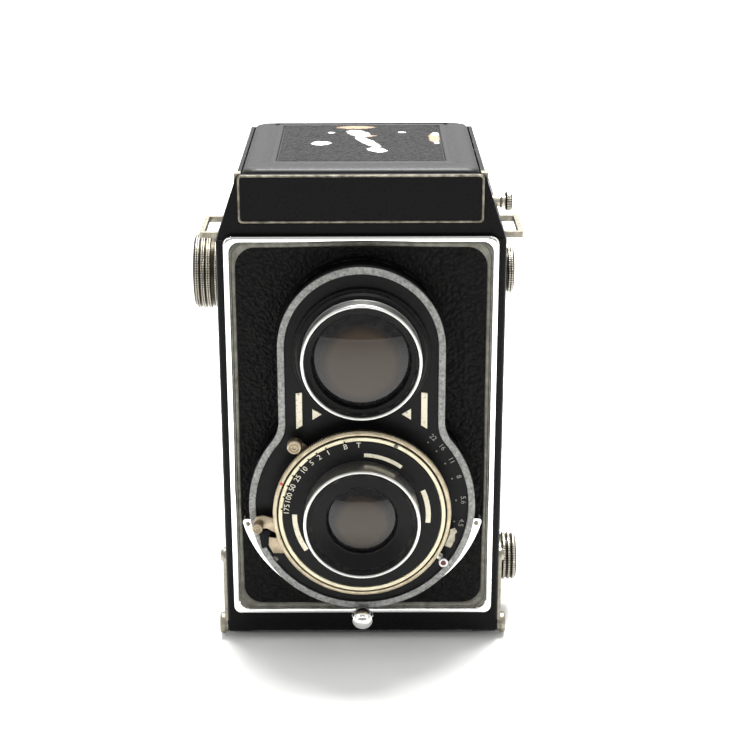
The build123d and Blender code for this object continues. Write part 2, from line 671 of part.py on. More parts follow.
with BuildPart() as viewing_barrel:
    add(ring_y(14.8, 13.6, VIEW_FACE_Y + 1.2, BOARD_Y - 3.0, VIEW_Z))
    add(ring_y(13.6, 12.9, VIEW_FACE_Y + 2.4, BOARD_Y, VIEW_Z))
    add(ring_y(13.6, VIEW_HOLE_R - 1.2, BOARD_Y - 1.2, BOARD_Y, VIEW_Z))
save("viewing_barrel", viewing_barrel.part)

with BuildPart() as viewing_glass:
    with BuildSketch(Plane.YZ):
        with BuildLine():
            Line((-47.2, VIEW_Z), (-49.6, VIEW_Z))
            ThreePointArc((-49.6, VIEW_Z), (-49.18, VIEW_Z + 6.5), (-47.9, VIEW_Z + 12.9))
            Line((-47.9, VIEW_Z + 12.9), (-47.2, VIEW_Z + 12.9))
            Line((-47.2, VIEW_Z + 12.9), (-47.2, VIEW_Z))
        make_face()
    revolve(axis=Axis((0, 0, VIEW_Z), (0, 1, 0)), revolution_arc=360)
save("viewing_glass", viewing_glass.part)

with BuildPart() as rear_cells:
    add(ring_y(VIEW_HOLE_R, VIEW_HOLE_R - 1.2, BOARD_Y, -34.5, VIEW_Z))
    add(disc_y(VIEW_HOLE_R - 1.2, -38.0, -36.0, 0, VIEW_Z))
    add(ring_y(TAKE_HOLE_R, TAKE_HOLE_R - 1.4, -46.0, -36.5, TAKE_Z))
    add(disc_y(TAKE_HOLE_R - 1.4, -39.5, -37.2, 0, TAKE_Z))
save("rear_cells", rear_cells.part)

# between-lens shutter: a core on the board, four lever rings in a groove, a speed ring, a black face
CORE_R = 18.8
LEVER_IN = 18.9
LEVER_OUT = 21.6
RING_REAR_Y = -46.3
RING_FRONT_Y = -49.6
with BuildPart() as shutter_housing:
    add(ring_y(CORE_R, TAKE_HOLE_R, RING_FRONT_Y + 0.8, BOARD_Y, TAKE_Z))
    add(ring_y(20.2, TAKE_HOLE_R, RING_FRONT_Y + 0.8, RING_REAR_Y, TAKE_Z))
save("shutter_housing", shutter_housing.part)

with BuildPart() as shutter_face:
    add(ring_y(20.55, 15.4, RING_FRONT_Y + 0.1, RING_FRONT_Y + 0.8, TAKE_Z))
save("shutter_face", shutter_face.part)

with BuildPart() as speed_ring:
    add(ring_y(RING_R, 20.75, RING_FRONT_Y + 0.3, RING_REAR_Y - 0.1, TAKE_Z))
    add(ring_y(22.4, 20.75, RING_FRONT_Y, RING_FRONT_Y + 0.5, TAKE_Z))
    chamfer(speed_ring.edges().filter_by(GeomType.CIRCLE).filter_by(lambda e: e.radius > 23.6), 0.25)
save("speed_ring", speed_ring.part)


def lever_ring(layer, angle, reach, half, tip_y):
    """A flat ring round the shutter's core with one arm; the arm's tip stands forward to tip_y."""
    y_rear = BOARD_Y - 0.2 - layer * 0.75
    y_front = y_rear - 0.6
    with BuildPart(mode=Mode.PRIVATE) as lever:
        add(ring_y(LEVER_OUT, LEVER_IN, y_front, y_rear, TAKE_Z))
        a = radians(angle)
        arm = Plane(origin=(0, y_rear, TAKE_Z), x_dir=(cos(a), 0, sin(a)), z_dir=(0, -1, 0))
        with BuildSketch(arm):
            with Locations((20.5 + (reach - 20.5) / 2, 0)):
                Rectangle(reach - 20.5, 2 * half)
        extrude(amount=0.6)
        tip = Plane(origin=(0, y_front + 0.01, TAKE_Z), x_dir=(cos(a), 0, sin(a)), z_dir=(0, -1, 0))
        with BuildSketch(tip):
            with Locations((reach - 1.2, 0)):
                RectangleRounded(2.4, 2 * half, 0.4)
        extrude(amount=y_front - tip_y + 0.02)
    return lever.part


APERTURE_ANGLE = -19.0
COCKING_ANGLE = 133.0
RELEASE_ANGLE = 189.0
TIMER_ANGLE = -34.5
aperture_arm = lever_ring(0, APERTURE_ANGLE, 27.0, 1.2, -46.6)
with BuildPart() as aperture_lever:
    add(aperture_arm)
    a = radians(APERTURE_ANGLE)
    pointer = Plane(origin=(0, -46.6, TAKE_Z), x_dir=(cos(a), 0, sin(a)), z_dir=(0, -1, 0))
    with BuildSketch(pointer):
        with BuildLine():
            Polyline((24.4, -2.4), (26.6, -2.4), (27.6, 0.6), (26.2, 3.0), (24.4, 2.0), close=True)
        make_face()
    extrude(amount=0.9)
save("aperture_lever", aperture_lever.part)

timer_arm = lever_ring(1, TIMER_ANGLE, 27.4, 0.9, -46.4)
with BuildPart() as timer_lever:
    add(timer_arm)
    a = radians(TIMER_ANGLE)
    add(disc_y(1.9, -47.6, -46.4, 26.5 * cos(a), TAKE_Z + 26.5 * sin(a)))
save("timer_lever", timer_lever.part)

cocking_arm = lever_ring(2, COCKING_ANGLE, 26.4, 1.0, -46.4)
with BuildPart() as cocking_lever:
    add(cocking_arm)
    a = radians(COCKING_ANGLE)
    add(disc_y(1.9, -48.6, -46.4, 25.8 * cos(a), TAKE_Z + 25.8 * sin(a)))
    fillet(cocking_lever.faces().sort_by(Axis.Y)[0].edges(), 0.4)
save("cocking_lever", cocking_lever.part)

release_arm = lever_ring(3, RELEASE_ANGLE, 29.0, 1.1, -46.6)
with BuildPart() as release_lever:
    add(release_arm)
    a = radians(RELEASE_ANGLE)
    add(disc_y(2.0, -48.6, -46.6, 28.3 * cos(a), TAKE_Z + 28.3 * sin(a)))
    fillet(release_lever.faces().sort_by(Axis.Y)[0].edges(), 0.4)
save("release_lever", release_lever.part)

# taking lens
TAKE_FACE_Y = -56.2
with BuildPart() as taking_rim:
    add(ring_y(15.4, 14.5, TAKE_FACE_Y, RING_FRONT_Y + 0.8, TAKE_Z))
    fillet(taking_rim.edges().filter_by(GeomType.CIRCLE).group_by(Axis.Y)[0], 0.35)
save("taking_rim", taking_rim.part)

with BuildPart() as taking_barrel:
    with BuildSketch(Plane.YZ):
        with BuildLine():
            Polyline(
                (-48.8, TAKE_Z + 14.5),
                (TAKE_FACE_Y + 1.0, TAKE_Z + 14.5),
                (TAKE_FACE_Y + 1.0, TAKE_Z + 13.9),
                (TAKE_FACE_Y + 3.4, TAKE_Z + 9.2),
                (-48.8, TAKE_Z + 9.2),
                close=True,
            )
        make_face()
    revolve(axis=Axis((0, 0, TAKE_Z), (0, 1, 0)), revolution_arc=360)
save("taking_barrel", taking_barrel.part)

with BuildPart() as taking_glass:
    with BuildSketch(Plane.YZ):
        with BuildLine():
            Line((-50.4, TAKE_Z), (-53.4, TAKE_Z))
            ThreePointArc((-53.4, TAKE_Z), (-53.08, TAKE_Z + 4.7), (-52.1, TAKE_Z + 9.2))
            Line((-52.1, TAKE_Z + 9.2), (-50.4, TAKE_Z + 9.2))
            Line((-50.4, TAKE_Z + 9.2), (-50.4, TAKE_Z))
        make_face()
    revolve(axis=Axis((0, 0, TAKE_Z), (0, 1, 0)), revolution_arc=360)
save("taking_glass", taking_glass.part)

with BuildPart() as shutter_blades:
    add(disc_y(TAKE_HOLE_R, -47.2, -46.8, 0, TAKE_Z))
save("shutter_blades", shutter_blades.part)


# ---------------------------------------------------------------- focusing lever
CRESCENT_UP = 2.7
CRESCENT_R = 33.5
LEVER_REAR_Y = -37.6
LEVER_FRONT_Y = -40.7
with BuildPart() as focus_lever:
    with BuildSketch(facing_front(LEVER_REAR_Y)):
        with Locations((0, TAKE_Z + CRESCENT_UP)):
            Circle(CRESCENT_R)
        with Locations((0, TAKE_Z)):
            Circle(29.8, mode=Mode.SUBTRACT)
        with Locations((0, TAKE_Z - 5.0 + 50)):
            Rectangle(100, 100, mode=Mode.SUBTRACT)
    extrude(amount=LEVER_REAR_Y - LEVER_FRONT_Y)
    fillet(
        focus_lever.edges().filter_by(Axis.Y).filter_by(lambda e: e.center().Z > TAKE_Z - 6), 0.9
    )
    add(block((-1.3, LEVER_FRONT_Y, 12.0), (1.3, LEVER_REAR_Y, 15.2)))
    add(block((-1.3, -44.6, 12.0), (1.3, LEVER_FRONT_Y + 0.2, 14.2)))
save("focus_lever", focus_lever.part)

BALL_Y = -46.0
BALL_Z = 13.1
with BuildPart() as focus_ball:
    with Locations((0, BALL_Y, BALL_Z)):
        Sphere(3.0)
    add(focus_lever.part, mode=Mode.SUBTRACT)
save("focus_ball", focus_ball.part)

# ---------------------------------------------------------------- film transport, knobs and spool


def turned(points, x_sign, y, z):
    """Revolves a profile of (distance out along X, radius) about an axis along X."""
    with BuildPart(mode=Mode.PRIVATE) as piece:
        with BuildSketch(Plane(origin=(0, y, z), x_dir=(x_sign, 0, 0), z_dir=(0, -x_sign, 0))):
            with BuildLine():
                Polyline(*points, close=True)
            make_face()
        revolve(axis=Axis((0, y, z), (1, 0, 0)), revolution_arc=360)
    return piece.part


wind_knob_shape = turned(
    [
        (39.5, 3.0), (39.5, 8.0), (41.6, 8.0), (41.6, 10.8), (41.9, 11.15), (43.0, 11.15), (43.3, 10.8),
        (43.3, 9.4), (44.1, 9.4), (44.1, 10.8), (44.4, 11.15), (45.4, 11.15), (45.7, 10.6), (46.0, 11.15),
        (47.0, 11.15), (47.3, 10.6), (47.6, 11.15), (48.6, 11.15), (49.2, 10.6), (49.5, 9.8),
        (49.5, 8.4), (49.0, 8.0), (49.0, 3.0),
    ],
    -1, TAKE_UP_Y, TAKE_UP_Z,
)
with BuildPart() as wind_knob:
    add(wind_knob_shape)
    add(disc_x(3.0, -49.0, -31.2, TAKE_UP_Y, TAKE_UP_Z))
    add(block((-32, TAKE_UP_Y - 0.9, TAKE_UP_Z - 2.4), (-27.0, TAKE_UP_Y + 0.9, TAKE_UP_Z + 2.4)))
save("wind_knob", wind_knob.part)



with BuildPart() as take_up_spool:
    add(disc_x(FLANGE_R, -SPOOL_HALF, -SPOOL_HALF + 1.0, TAKE_UP_Y, TAKE_UP_Z))
    add(disc_x(FLANGE_R, SPOOL_HALF - 1.0, SPOOL_HALF, TAKE_UP_Y, TAKE_UP_Z))
    add(disc_x(4.4, -SPOOL_HALF, SPOOL_HALF, TAKE_UP_Y, TAKE_UP_Z))
    add(block((-22, TAKE_UP_Y - 0.7, TAKE_UP_Z - 5), (22, TAKE_UP_Y + 0.7, TAKE_UP_Z + 5)), mode=Mode.SUBTRACT)
    add(disc_x(2.65, SPOOL_HALF - 6, SPOOL_HALF + 1, TAKE_UP_Y, TAKE_UP_Z), mode=Mode.SUBTRACT)
    add(wind_knob.part, mode=Mode.SUBTRACT)
save("take_up_spool", take_up_spool.part)

SPINDLE_R = 2.5
upper_spool_knob_shape = turned(
    [
        (26.0, 0), (26.0, SPINDLE_R), (38.9, SPINDLE_R), (38.9, 5.4), (41.0, 5.4), (41.0, 6.5), (41.3, 6.8),
        (42.6, 6.8), (42.9, 6.3), (43.2, 6.8), (44.4, 6.8), (44.9, 6.2), (45.0, 5.4), (45.0, 0),
    ],
    1, TAKE_UP_Y, TAKE_UP_Z,
)
with BuildPart() as upper_spool_knob:
    add(upper_spool_knob_shape)
save("upper_spool_knob", upper_spool_knob.part)

lower_spool_knob_shape = turned(
    [
        (27.5, 0), (27.5, SPINDLE_R), (38.9, SPINDLE_R), (38.9, 4.8), (40.0, 4.8), (40.0, 6.5), (40.3, 6.85),
        (41.1, 6.85), (41.4, 6.4), (41.7, 6.85), (42.4, 6.85), (42.7, 6.4), (43.0, 6.85), (43.7, 6.85),
        (44.1, 6.4), (44.2, 5.8), (44.2, 0),
    ],
    1, SUPPLY_Y, SUPPLY_Z,
)
with BuildPart() as lower_spool_knob:
    add(lower_spool_knob_shape)
save("lower_spool_knob", lower_spool_knob.part)

with BuildPart() as spindle_bushes:
    for y, z, r in ((TAKE_UP_Y, TAKE_UP_Z, 5.0), (SUPPLY_Y, SUPPLY_Z, 6.4)):
        add(disc_x(r, HALF_WIDTH, HALF_WIDTH + 0.6, y, z))
    add(ring_x(6.0, 3.05, -HALF_WIDTH - 1.0, -HALF_WIDTH, TAKE_UP_Y, TAKE_UP_Z))
    for y, z in ((TAKE_UP_Y, TAKE_UP_Z), (SUPPLY_Y, SUPPLY_Z)):
        add(disc_x(2.55, HALF_WIDTH - 1, HALF_WIDTH + 2, y, z), mode=Mode.SUBTRACT)
save("spindle_bushes", spindle_bushes.part)

with BuildPart() as supply_pivot:
    add(disc_x(3.6, -chamber_half, -chamber_half + 1.2, SUPPLY_Y, SUPPLY_Z))
    add(disc_x(SPINDLE_R, -chamber_half + 1.2, -27.5, SUPPLY_Y, SUPPLY_Z))
save("supply_pivot", supply_pivot.part)


COUNTER_Y = 1.0
COUNTER_Z = 118.5
counter_knob_shape = turned(
        [
            (33.6, 0), (33.6, 1.76), (34.2, 1.76), (34.2, 1.6), (40.1, 1.6), (40.1, 2.6), (40.3, 2.85),
            (41.8, 2.85), (42.0, 2.6), (42.0, 0),
        ],
        1, COUNTER_Y, COUNTER_Z,
)
with BuildPart() as counter_knob:
    add(counter_knob_shape)
save("counter_knob", counter_knob.part)
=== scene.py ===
# %% [markdown]
# # A twin lens reflex camera
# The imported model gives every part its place. This script adds what makes the parts look real:
# knurling, grain, worn edges, scales, glass and light. Each cell makes one piece or one finish.

# %% Load the fixed model
import json
from math import cos, pi, radians, sin

import bpy
from mathutils import Matrix, Vector


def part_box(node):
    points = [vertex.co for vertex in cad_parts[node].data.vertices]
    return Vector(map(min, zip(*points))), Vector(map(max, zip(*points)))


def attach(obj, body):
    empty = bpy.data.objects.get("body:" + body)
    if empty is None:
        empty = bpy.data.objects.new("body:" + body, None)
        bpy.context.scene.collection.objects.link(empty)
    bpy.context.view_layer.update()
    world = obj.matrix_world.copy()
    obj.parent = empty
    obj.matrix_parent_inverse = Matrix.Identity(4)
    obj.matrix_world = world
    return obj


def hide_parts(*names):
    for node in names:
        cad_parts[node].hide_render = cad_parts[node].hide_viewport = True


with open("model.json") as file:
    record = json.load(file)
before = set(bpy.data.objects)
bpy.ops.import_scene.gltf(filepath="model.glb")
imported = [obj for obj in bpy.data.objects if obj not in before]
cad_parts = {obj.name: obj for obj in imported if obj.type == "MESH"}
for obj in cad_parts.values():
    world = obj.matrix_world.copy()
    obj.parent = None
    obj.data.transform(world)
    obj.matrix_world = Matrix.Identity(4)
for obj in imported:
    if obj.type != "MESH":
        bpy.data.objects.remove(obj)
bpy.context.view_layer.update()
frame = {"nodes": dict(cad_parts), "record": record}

MM = 0.001

# %% [markdown]
# Places come from the model's own nodes. The two optical axes run along Y, so each is a pair
# of X and Z. They are read from the rims of the two lenses.

# %% Read the axes from the model
def middle(node):
    """The centre of a node's box."""
    low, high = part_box(node)
    return (Vector(low) + Vector(high)) / 2


def low_of(node):
    return Vector(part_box(node)[0])


def high_of(node):
    return Vector(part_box(node)[1])


VIEW_AXIS = middle("viewing_rim")
TAKE_AXIS = middle("taking_rim")
print("viewing axis", VIEW_AXIS, "taking axis", TAKE_AXIS)

# %% [markdown]
# ## Helpers
# Operators act on all that is selected, so every step starts by deselecting. `finish_piece` names
# an object, gives it its material and lets it ride on a body of the model.

# %% Selecting, naming and finishing a piece
def mode(name):
    bpy.ops.object.mode_set(mode=name)


def deselect():
    if bpy.context.object and bpy.context.object.mode != "OBJECT":
        mode("OBJECT")
    bpy.ops.object.select_all(action="DESELECT")


def pick(*objects):
    """Selects only these objects; the first one is active."""
    deselect()
    for o in objects:
        o.select_set(True)
    bpy.context.view_layer.objects.active = objects[0]


def settle(o):
    """Puts the object at the origin, with its place in its mesh."""
    pick(o)
    bpy.ops.object.transform_apply(location=True, rotation=True, scale=True)
    return o


def paint(o, material):
    o.data.materials.clear()
    o.data.materials.append(material)


def smooth(o, angle):
    pick(o)
    bpy.ops.object.shade_smooth_by_angle(angle=radians(angle))


def finish_piece(o, name, body, material, angle=30):
    settle(o)
    o.name = name
    o.data.name = name
    paint(o, material)
    smooth(o, angle)
    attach(o, body)
    return o


def join(objects):
    pick(*objects)
    bpy.ops.object.join()
    return bpy.context.object

# %% [markdown]
# ## Camera
# The view is from a little above, straight on. The lens is long for the distance, so the sides
# converge only slightly.

# %% Camera
CAMERA_PLACE = Vector((1.77, -461.22, 231.14)) * MM
PITCH_DOWN, ROLL, YAW = 19.55, 0.18, 0.018
FOCAL_MM, SENSOR_MM = 81.4, 36.0
camera_turn = (radians(90 - PITCH_DOWN), radians(ROLL), radians(YAW))
bpy.ops.object.camera_add(location=CAMERA_PLACE, rotation=camera_turn)
camera = bpy.context.object
camera.data.lens = FOCAL_MM
camera.data.sensor_width = SENSOR_MM
camera.data.clip_start = 0.01
bpy.context.scene.camera = camera

# %% [markdown]
# ## Stage and light
# A plain white floor under a white sky hides the join between them. One large soft lamp behind
# and above throws the short shadow forwards, and two weaker ones fill the front. Two wide lamps
# wash the floor far behind and in front.

# %% Floor, sky and lamps
bpy.ops.mesh.primitive_plane_add(size=8.0, location=(0, 1.0, 0))
floor = bpy.context.object
floor.name = "floor"


def soft_lamp(name, place, target, size, watts):
    bpy.ops.object.light_add(type="AREA", location=place)
    lamp = bpy.context.object
    lamp.name = name
    lamp.data.shape = "RECTANGLE"
    lamp.data.size, lamp.data.size_y = size
    lamp.data.energy = watts
    lamp.rotation_euler = (Vector(target) - Vector(place)).to_track_quat("-Z", "Y").to_euler()


soft_lamp("key_above", (0.03, 0.20, 0.82), (0, 0.0, 0.0), (0.42, 0.32), 19.0)
soft_lamp("floor_wash", (0.0, 1.9, 1.3), (0, 1.9, 0), (2.6, 1.2), 40.0)
soft_lamp("floor_wash_front", (0.0, -1.9, 1.3), (0, -2.4, 0), (2.6, 0.8), 30.0)
soft_lamp("fill_left", (-0.8, -0.5, 0.55), (0, 0, 0.07), (0.5, 0.9), 1.6)
soft_lamp("fill_right", (0.8, -0.6, 0.5), (0, 0, 0.07), (0.5, 0.9), 1.2)

sky = bpy.data.worlds.new("white_sky")
bpy.context.scene.world = sky
sky.use_nodes = True
sky.node_tree.nodes["Background"].inputs["Color"].default_value = (1.0, 1.0, 1.0, 1)
bpy.context.scene.view_settings.view_transform = "Standard"

# %% [markdown]
# The room is bright behind the camera body and dim in front of it. That keeps the black
# finishes black, while the chrome still finds a white floor to reflect. Only rays that come
# straight from the view see a sky that is white all round.

# %% Let the sky fall off towards the front
nodes, links = sky.node_tree.nodes, sky.node_tree.links
place = nodes.new("ShaderNodeTexCoord")
parts = nodes.new("ShaderNodeSeparateXYZ")
across = nodes.new("ShaderNodeMapRange")
for key, number in (("From Min", -1.0), ("From Max", 0.5), ("To Min", 0.36), ("To Max", 1.05)):
    across.inputs[key].default_value = number
seen = nodes.new("ShaderNodeLightPath")
backdrop = nodes.new("ShaderNodeMath")
backdrop.operation = "MAXIMUM"
links.new(place.outputs["Generated"], parts.inputs["Vector"])
links.new(parts.outputs["Y"], across.inputs["Value"])
links.new(across.outputs["Result"], backdrop.inputs[0])
links.new(seen.outputs["Is Camera Ray"], backdrop.inputs[1])
links.new(backdrop.outputs["Value"], nodes["Background"].inputs["Strength"])

# %% [markdown]
# ## Finishes
# Every finish is a node material in object space, so its grain has a real size in millimetres.
# `Finish` keeps the node bookkeeping in one place: noise, ramps, blends, bump and a worn-edge mask.

# %% A small builder for node materials
class Finish:
    """One Principled material and short calls that add nodes to it."""

    def __init__(self, name, colour, metallic=0.0, roughness=0.5, specular=0.5):
        self.material = bpy.data.materials.new(name)
        self.material.use_nodes = True
        self.tree = self.material.node_tree
        self.shader = self.tree.nodes["Principled BSDF"]
        own = {"Base Color": (*colour, 1), "Metallic": metallic, "Roughness": roughness}
        for key, value in {**own, "Specular IOR Level": specular}.items():
            self.shader.inputs[key].default_value = value
        self.material.diffuse_color = (*colour, 1)
        self.place = self.new("TexCoord").outputs["Object"]
        self.normal = None

    def new(self, kind, **settings):
        """A new shader node with its own settings."""
        node = self.tree.nodes.new("ShaderNode" + kind)
        for key, value in settings.items():
            setattr(node, key, value)
        return node

    def feed(self, socket, value):
        """Links another node's output to a socket, or sets a plain value on it."""
        if isinstance(value, bpy.types.NodeSocket):
            self.tree.links.new(value, socket)
        else:
            socket.default_value = value

    def add(self, kind, **inputs):
        node = self.new(kind)
        for key, value in inputs.items():
            self.feed(node.inputs[key], value)
        return node

    def noise(self, per_mm, detail=3.0, rough=0.5):
        """Noise with about this many features in a millimetre."""
        sizes = {"Scale": per_mm / MM, "Detail": detail, "Roughness": rough}
        return self.add("TexNoise", Vector=self.place, **sizes).outputs["Fac"]

    def ramp(self, value, low, high, to_low=0.0, to_high=1.0):
        """Maps low..high of a value to a range, clamped."""
        node = self.add("MapRange", Value=value)
        for key, number in (("From Min", low), ("From Max", high), ("To Min", to_low), ("To Max", to_high)):
            node.inputs[key].default_value = number
        return node.outputs["Result"]

    def maths(self, how, a, b):
        node = self.new("Math", operation=how, use_clamp=True)
        self.feed(node.inputs[0], a)
        self.feed(node.inputs[1], b)
        return node.outputs["Value"]

    def vectors(self, how, a, b=None):
        """One step of vector maths, such as a dot product or a length."""
        node = self.new("VectorMath", operation=how)
        self.feed(node.inputs[0], a)
        if b is not None:
            self.feed(node.inputs[1], b)
        return node.outputs["Value" if how in ("DOT_PRODUCT", "LENGTH") else "Vector"]

    def blend(self, mask, a, b):
        """Mixes two colours by a mask."""
        node = self.new("Mix", data_type="RGBA")
        self.feed(node.inputs["Factor"], mask)
        for index, colour in ((6, a), (7, b)):
            plain = isinstance(colour, tuple)
            self.feed(node.inputs[index], (*colour, 1) if plain else colour)
        return node.outputs[2]

    def rounding(self, radius_mm):
        """Edges catch the light as if they had this radius."""
        node = self.add("Bevel", Radius=radius_mm * MM)
        node.samples = 6
        self.normal = node.outputs["Normal"]
        self.link(self.normal, "Normal")

    def edge_mask(self, radius_mm, low=0.03, high=0.25):
        """1 near sharp edges, 0 on flat ground."""
        soft = self.add("Bevel", Radius=radius_mm * MM)
        soft.samples = 8
        ground = self.new("NewGeometry").outputs["Normal"]
        agreement = self.vectors("DOT_PRODUCT", soft.outputs["Normal"], ground)
        return self.ramp(self.maths("SUBTRACT", 1.0, agreement), low, high)

    def bump(self, height, depth_mm, strength=1.0):
        node = self.add("Bump", Height=height, Strength=strength, Distance=depth_mm * MM)
        if self.normal is not None:
            self.feed(node.inputs["Normal"], self.normal)
        self.normal = node.outputs["Normal"]
        self.link(self.normal, "Normal")

    def from_axis(self, centre):
        """Distance from an axis along X, in metres."""
        gap = self.vectors("SUBTRACT", self.place, centre)
        return self.vectors("LENGTH", self.vectors("MULTIPLY", gap, (0, 1, 1)))

    def patch(self, centre, half_sizes, turn, ragged, sharp=0.25):
        """1 inside a ragged oval that lies flat at a place, 0 outside. Sizes are in mm."""
        lay = self.new("Mapping", vector_type="TEXTURE")
        at, sizes = Vector(centre) * MM, Vector(half_sizes) * MM
        for socket, value in zip(lay.inputs, (self.place, at, (0, 0, radians(turn)), sizes)):
            self.feed(socket, value)
        pushed = self.new("Math", operation="MULTIPLY_ADD")
        from_centre = self.vectors("LENGTH", lay.outputs["Vector"])
        for socket, value in zip(pushed.inputs, (self.noise(0.9, 4.0, 0.75), ragged, from_centre)):
            self.feed(socket, value)
        edge = 1.0 + ragged * 0.5
        return self.ramp(pushed.outputs["Value"], edge - sharp * 0.5, edge + sharp * 0.5, 1.0, 0.0)

    def link(self, output, socket_name):
        self.tree.links.new(output, self.shader.inputs[socket_name])

# %% [markdown]
# ### Black finishes
# Lacquer on pressed metal is glossy, a little uneven, and rubbed through to grey metal on its
# edges. The lens board is a duller enamel. Leatherette is embossed: fine rounded pebbles with
# short creases between them.

# %% Lacquer, enamel and matt black
BLACK = (0.0025, 0.0025, 0.0027)
RUBBED = (0.13, 0.12, 0.10)


def black_paint(name, roughness, wear_mm, specular, grain=0.02):
    f = Finish(name, BLACK, roughness=roughness, specular=specular)
    f.rounding(0.18)
    patchy = f.noise(0.35, 4.0, 0.7)
    fine = f.noise(2.2, 3.0, 0.6)
    edge = f.edge_mask(wear_mm)
    worn = f.maths("MULTIPLY", edge, f.ramp(patchy, 0.45, 0.72))
    dust = f.ramp(f.noise(3.0, 2.0, 0.8), 0.74, 0.80, 0.0, 0.16)
    ground = f.blend(dust, BLACK, (0.25, 0.24, 0.21))
    f.link(f.blend(worn, ground, RUBBED), "Base Color")
    f.link(f.ramp(fine, 0.3, 0.7, roughness - 0.06, roughness + 0.10), "Roughness")
    f.bump(f.noise(4.0, 2.0), grain, 0.25)
    return f.material


lacquer = black_paint("worn_black_lacquer", 0.30, 0.55, 0.08)
lid_lacquer = black_paint("satin_lid_lacquer", 0.40, 0.5, 0.20)
enamel = black_paint("satin_black_enamel", 0.42, 0.25, 0.13)
matt_black = black_paint("matt_black", 0.85, 0.2, 0.15)

# %% Leatherette
# Places where the covering of the lid has flaked: centre, half sizes and turn.
LID_TOP_MM = high_of("lid_leather").z / MM
TAN_SCUFFS = (
    ((-1.5, 23.0), (5.0, 2.2), 0), ((20.5, 8.0), (1.6, 6.5), 0), ((1.5, 10.0), (3.0, 1.0), 30),
)
WHITE_SCUFFS = (
    ((-0.8, 14.5), (2.6, 4.5), 20), ((1.8, 2.5), (1.7, 8.0), 22), ((4.3, -8.0), (2.2, 3.0), 30),
    ((-11.0, 1.0), (2.5, 2.6), 0), ((-8.5, 15.5), (0.9, 0.9), 0), ((11.5, 15.8), (1.1, 0.9), 0),
    ((20.8, 13.0), (1.0, 2.4), 0), ((20.8, 1.5), (0.7, 1.5), 0),
)
TAN, WHITE = (0.30, 0.21, 0.14), (0.84, 0.83, 0.80)
SCUFF_REACH_MM = 4


def leather(name, scuffed=False):
    f = Finish(name, BLACK, roughness=0.5, specular=0.08)
    f.rounding(0.2)
    warp = f.add("TexNoise", Vector=f.place, Scale=0.6 / MM, Detail=2.0)
    pull = f.new("VectorMath", operation="SCALE")
    pull.inputs["Scale"].default_value = 0.0011
    f.feed(pull.inputs[0], warp.outputs["Color"])
    moved = f.vectors("ADD", f.place, pull.outputs["Vector"])
    pebble = f.add("TexVoronoi", Vector=moved, Scale=1.15 / MM)
    pebble.feature = "SMOOTH_F1"
    crease = f.ramp(pebble.outputs["Distance"], 0.15, 0.75, 1.0, 0.0)
    height = f.maths("ADD", crease, f.ramp(f.noise(3.5, 3.0), 0.2, 0.8, 0.0, 0.25))
    f.bump(height, 0.3, 1.0)
    f.link(f.ramp(crease, 0.0, 1.0, 0.6, 0.34), "Roughness")
    # Painted shade: the valleys between the pebbles are coloured darker than the pebble tops.
    tone = f.blend(crease, (0.0010, 0.0010, 0.0010), (0.0036, 0.0035, 0.0033))
    if scuffed:
        for scuffs, ragged, colour in ((TAN_SCUFFS, 1.6, TAN), (WHITE_SCUFFS, 1.3, WHITE)):
            for centre, half_sizes, turn in scuffs:
                sizes = (*half_sizes, SCUFF_REACH_MM)
                tone = f.blend(f.patch((*centre, LID_TOP_MM), sizes, turn, ragged), tone, colour)
    f.link(tone, "Base Color")
    return f.material


leatherette = leather("black_leatherette")
scuffed_leather = leather("scuffed_leatherette", scuffed=True)

# %% [markdown]
# ### Bare and plated metals
# Chrome is smooth with a few dull patches. The knobs and lugs are nickel gone brown and grey in
# cloudy patches, and the bottoms of the milled grooves are painted dark as painted shade. The
# shutter's ring is a warmer nickel. The lens board's rim is bare aluminium, pitted and dull.

# %% Metals
# Painted shade: a near-black brown laid into the bottoms of milled grooves.
GROOVE_PAINTED_SHADE = (0.035, 0.030, 0.022)


def painted_groove_shade(f, centre, radius):
    """1 in the grooves below the teeth of a knob about an axis along X, where shade is painted; 0 on its
    teeth and hub.
    """
    away = f.from_axis(centre)
    tip = radius * MM
    deep = f.ramp(away, tip - 0.26 * MM, tip - 0.06 * MM, 1.0, 0.0)
    return f.maths("MULTIPLY", deep, f.ramp(away, tip - 0.9 * MM, tip - 0.8 * MM))


def plated(name, colour, dull, roughness, mottling=0.5, scratch=0.15, pit_mm=0.0, rounding=0.12,
           grooves=None, grain=0.45):
    """A metal with cloudy dull places; grooves is an axis point and a tip radius, if it has any, and shade
    is painted into those grooves.
    """
    f = Finish(name, colour, metallic=1.0, roughness=roughness)
    f.rounding(rounding)
    cloud = f.ramp(f.noise(grain, 5.0, 0.65), 0.5 - mottling * 0.25, 0.72)
    spots = f.ramp(f.noise(2.6, 3.0, 0.7), 0.60, 0.70, 0.0, mottling)
    mask = f.maths("MAXIMUM", f.maths("MULTIPLY", cloud, mottling), spots)
    tone = f.blend(mask, colour, dull)
    if grooves:
        # Painted shade in the bottoms of the grooves.
        tone = f.blend(painted_groove_shade(f, *grooves), tone, GROOVE_PAINTED_SHADE)
    f.link(tone, "Base Color")
    f.link(f.ramp(mask, 0.0, 1.0, roughness, min(1.0, roughness + 0.35)), "Roughness")
    f.bump(f.noise(1.6, 6.0, 0.75), 0.012 + pit_mm, scratch)
    return f.material


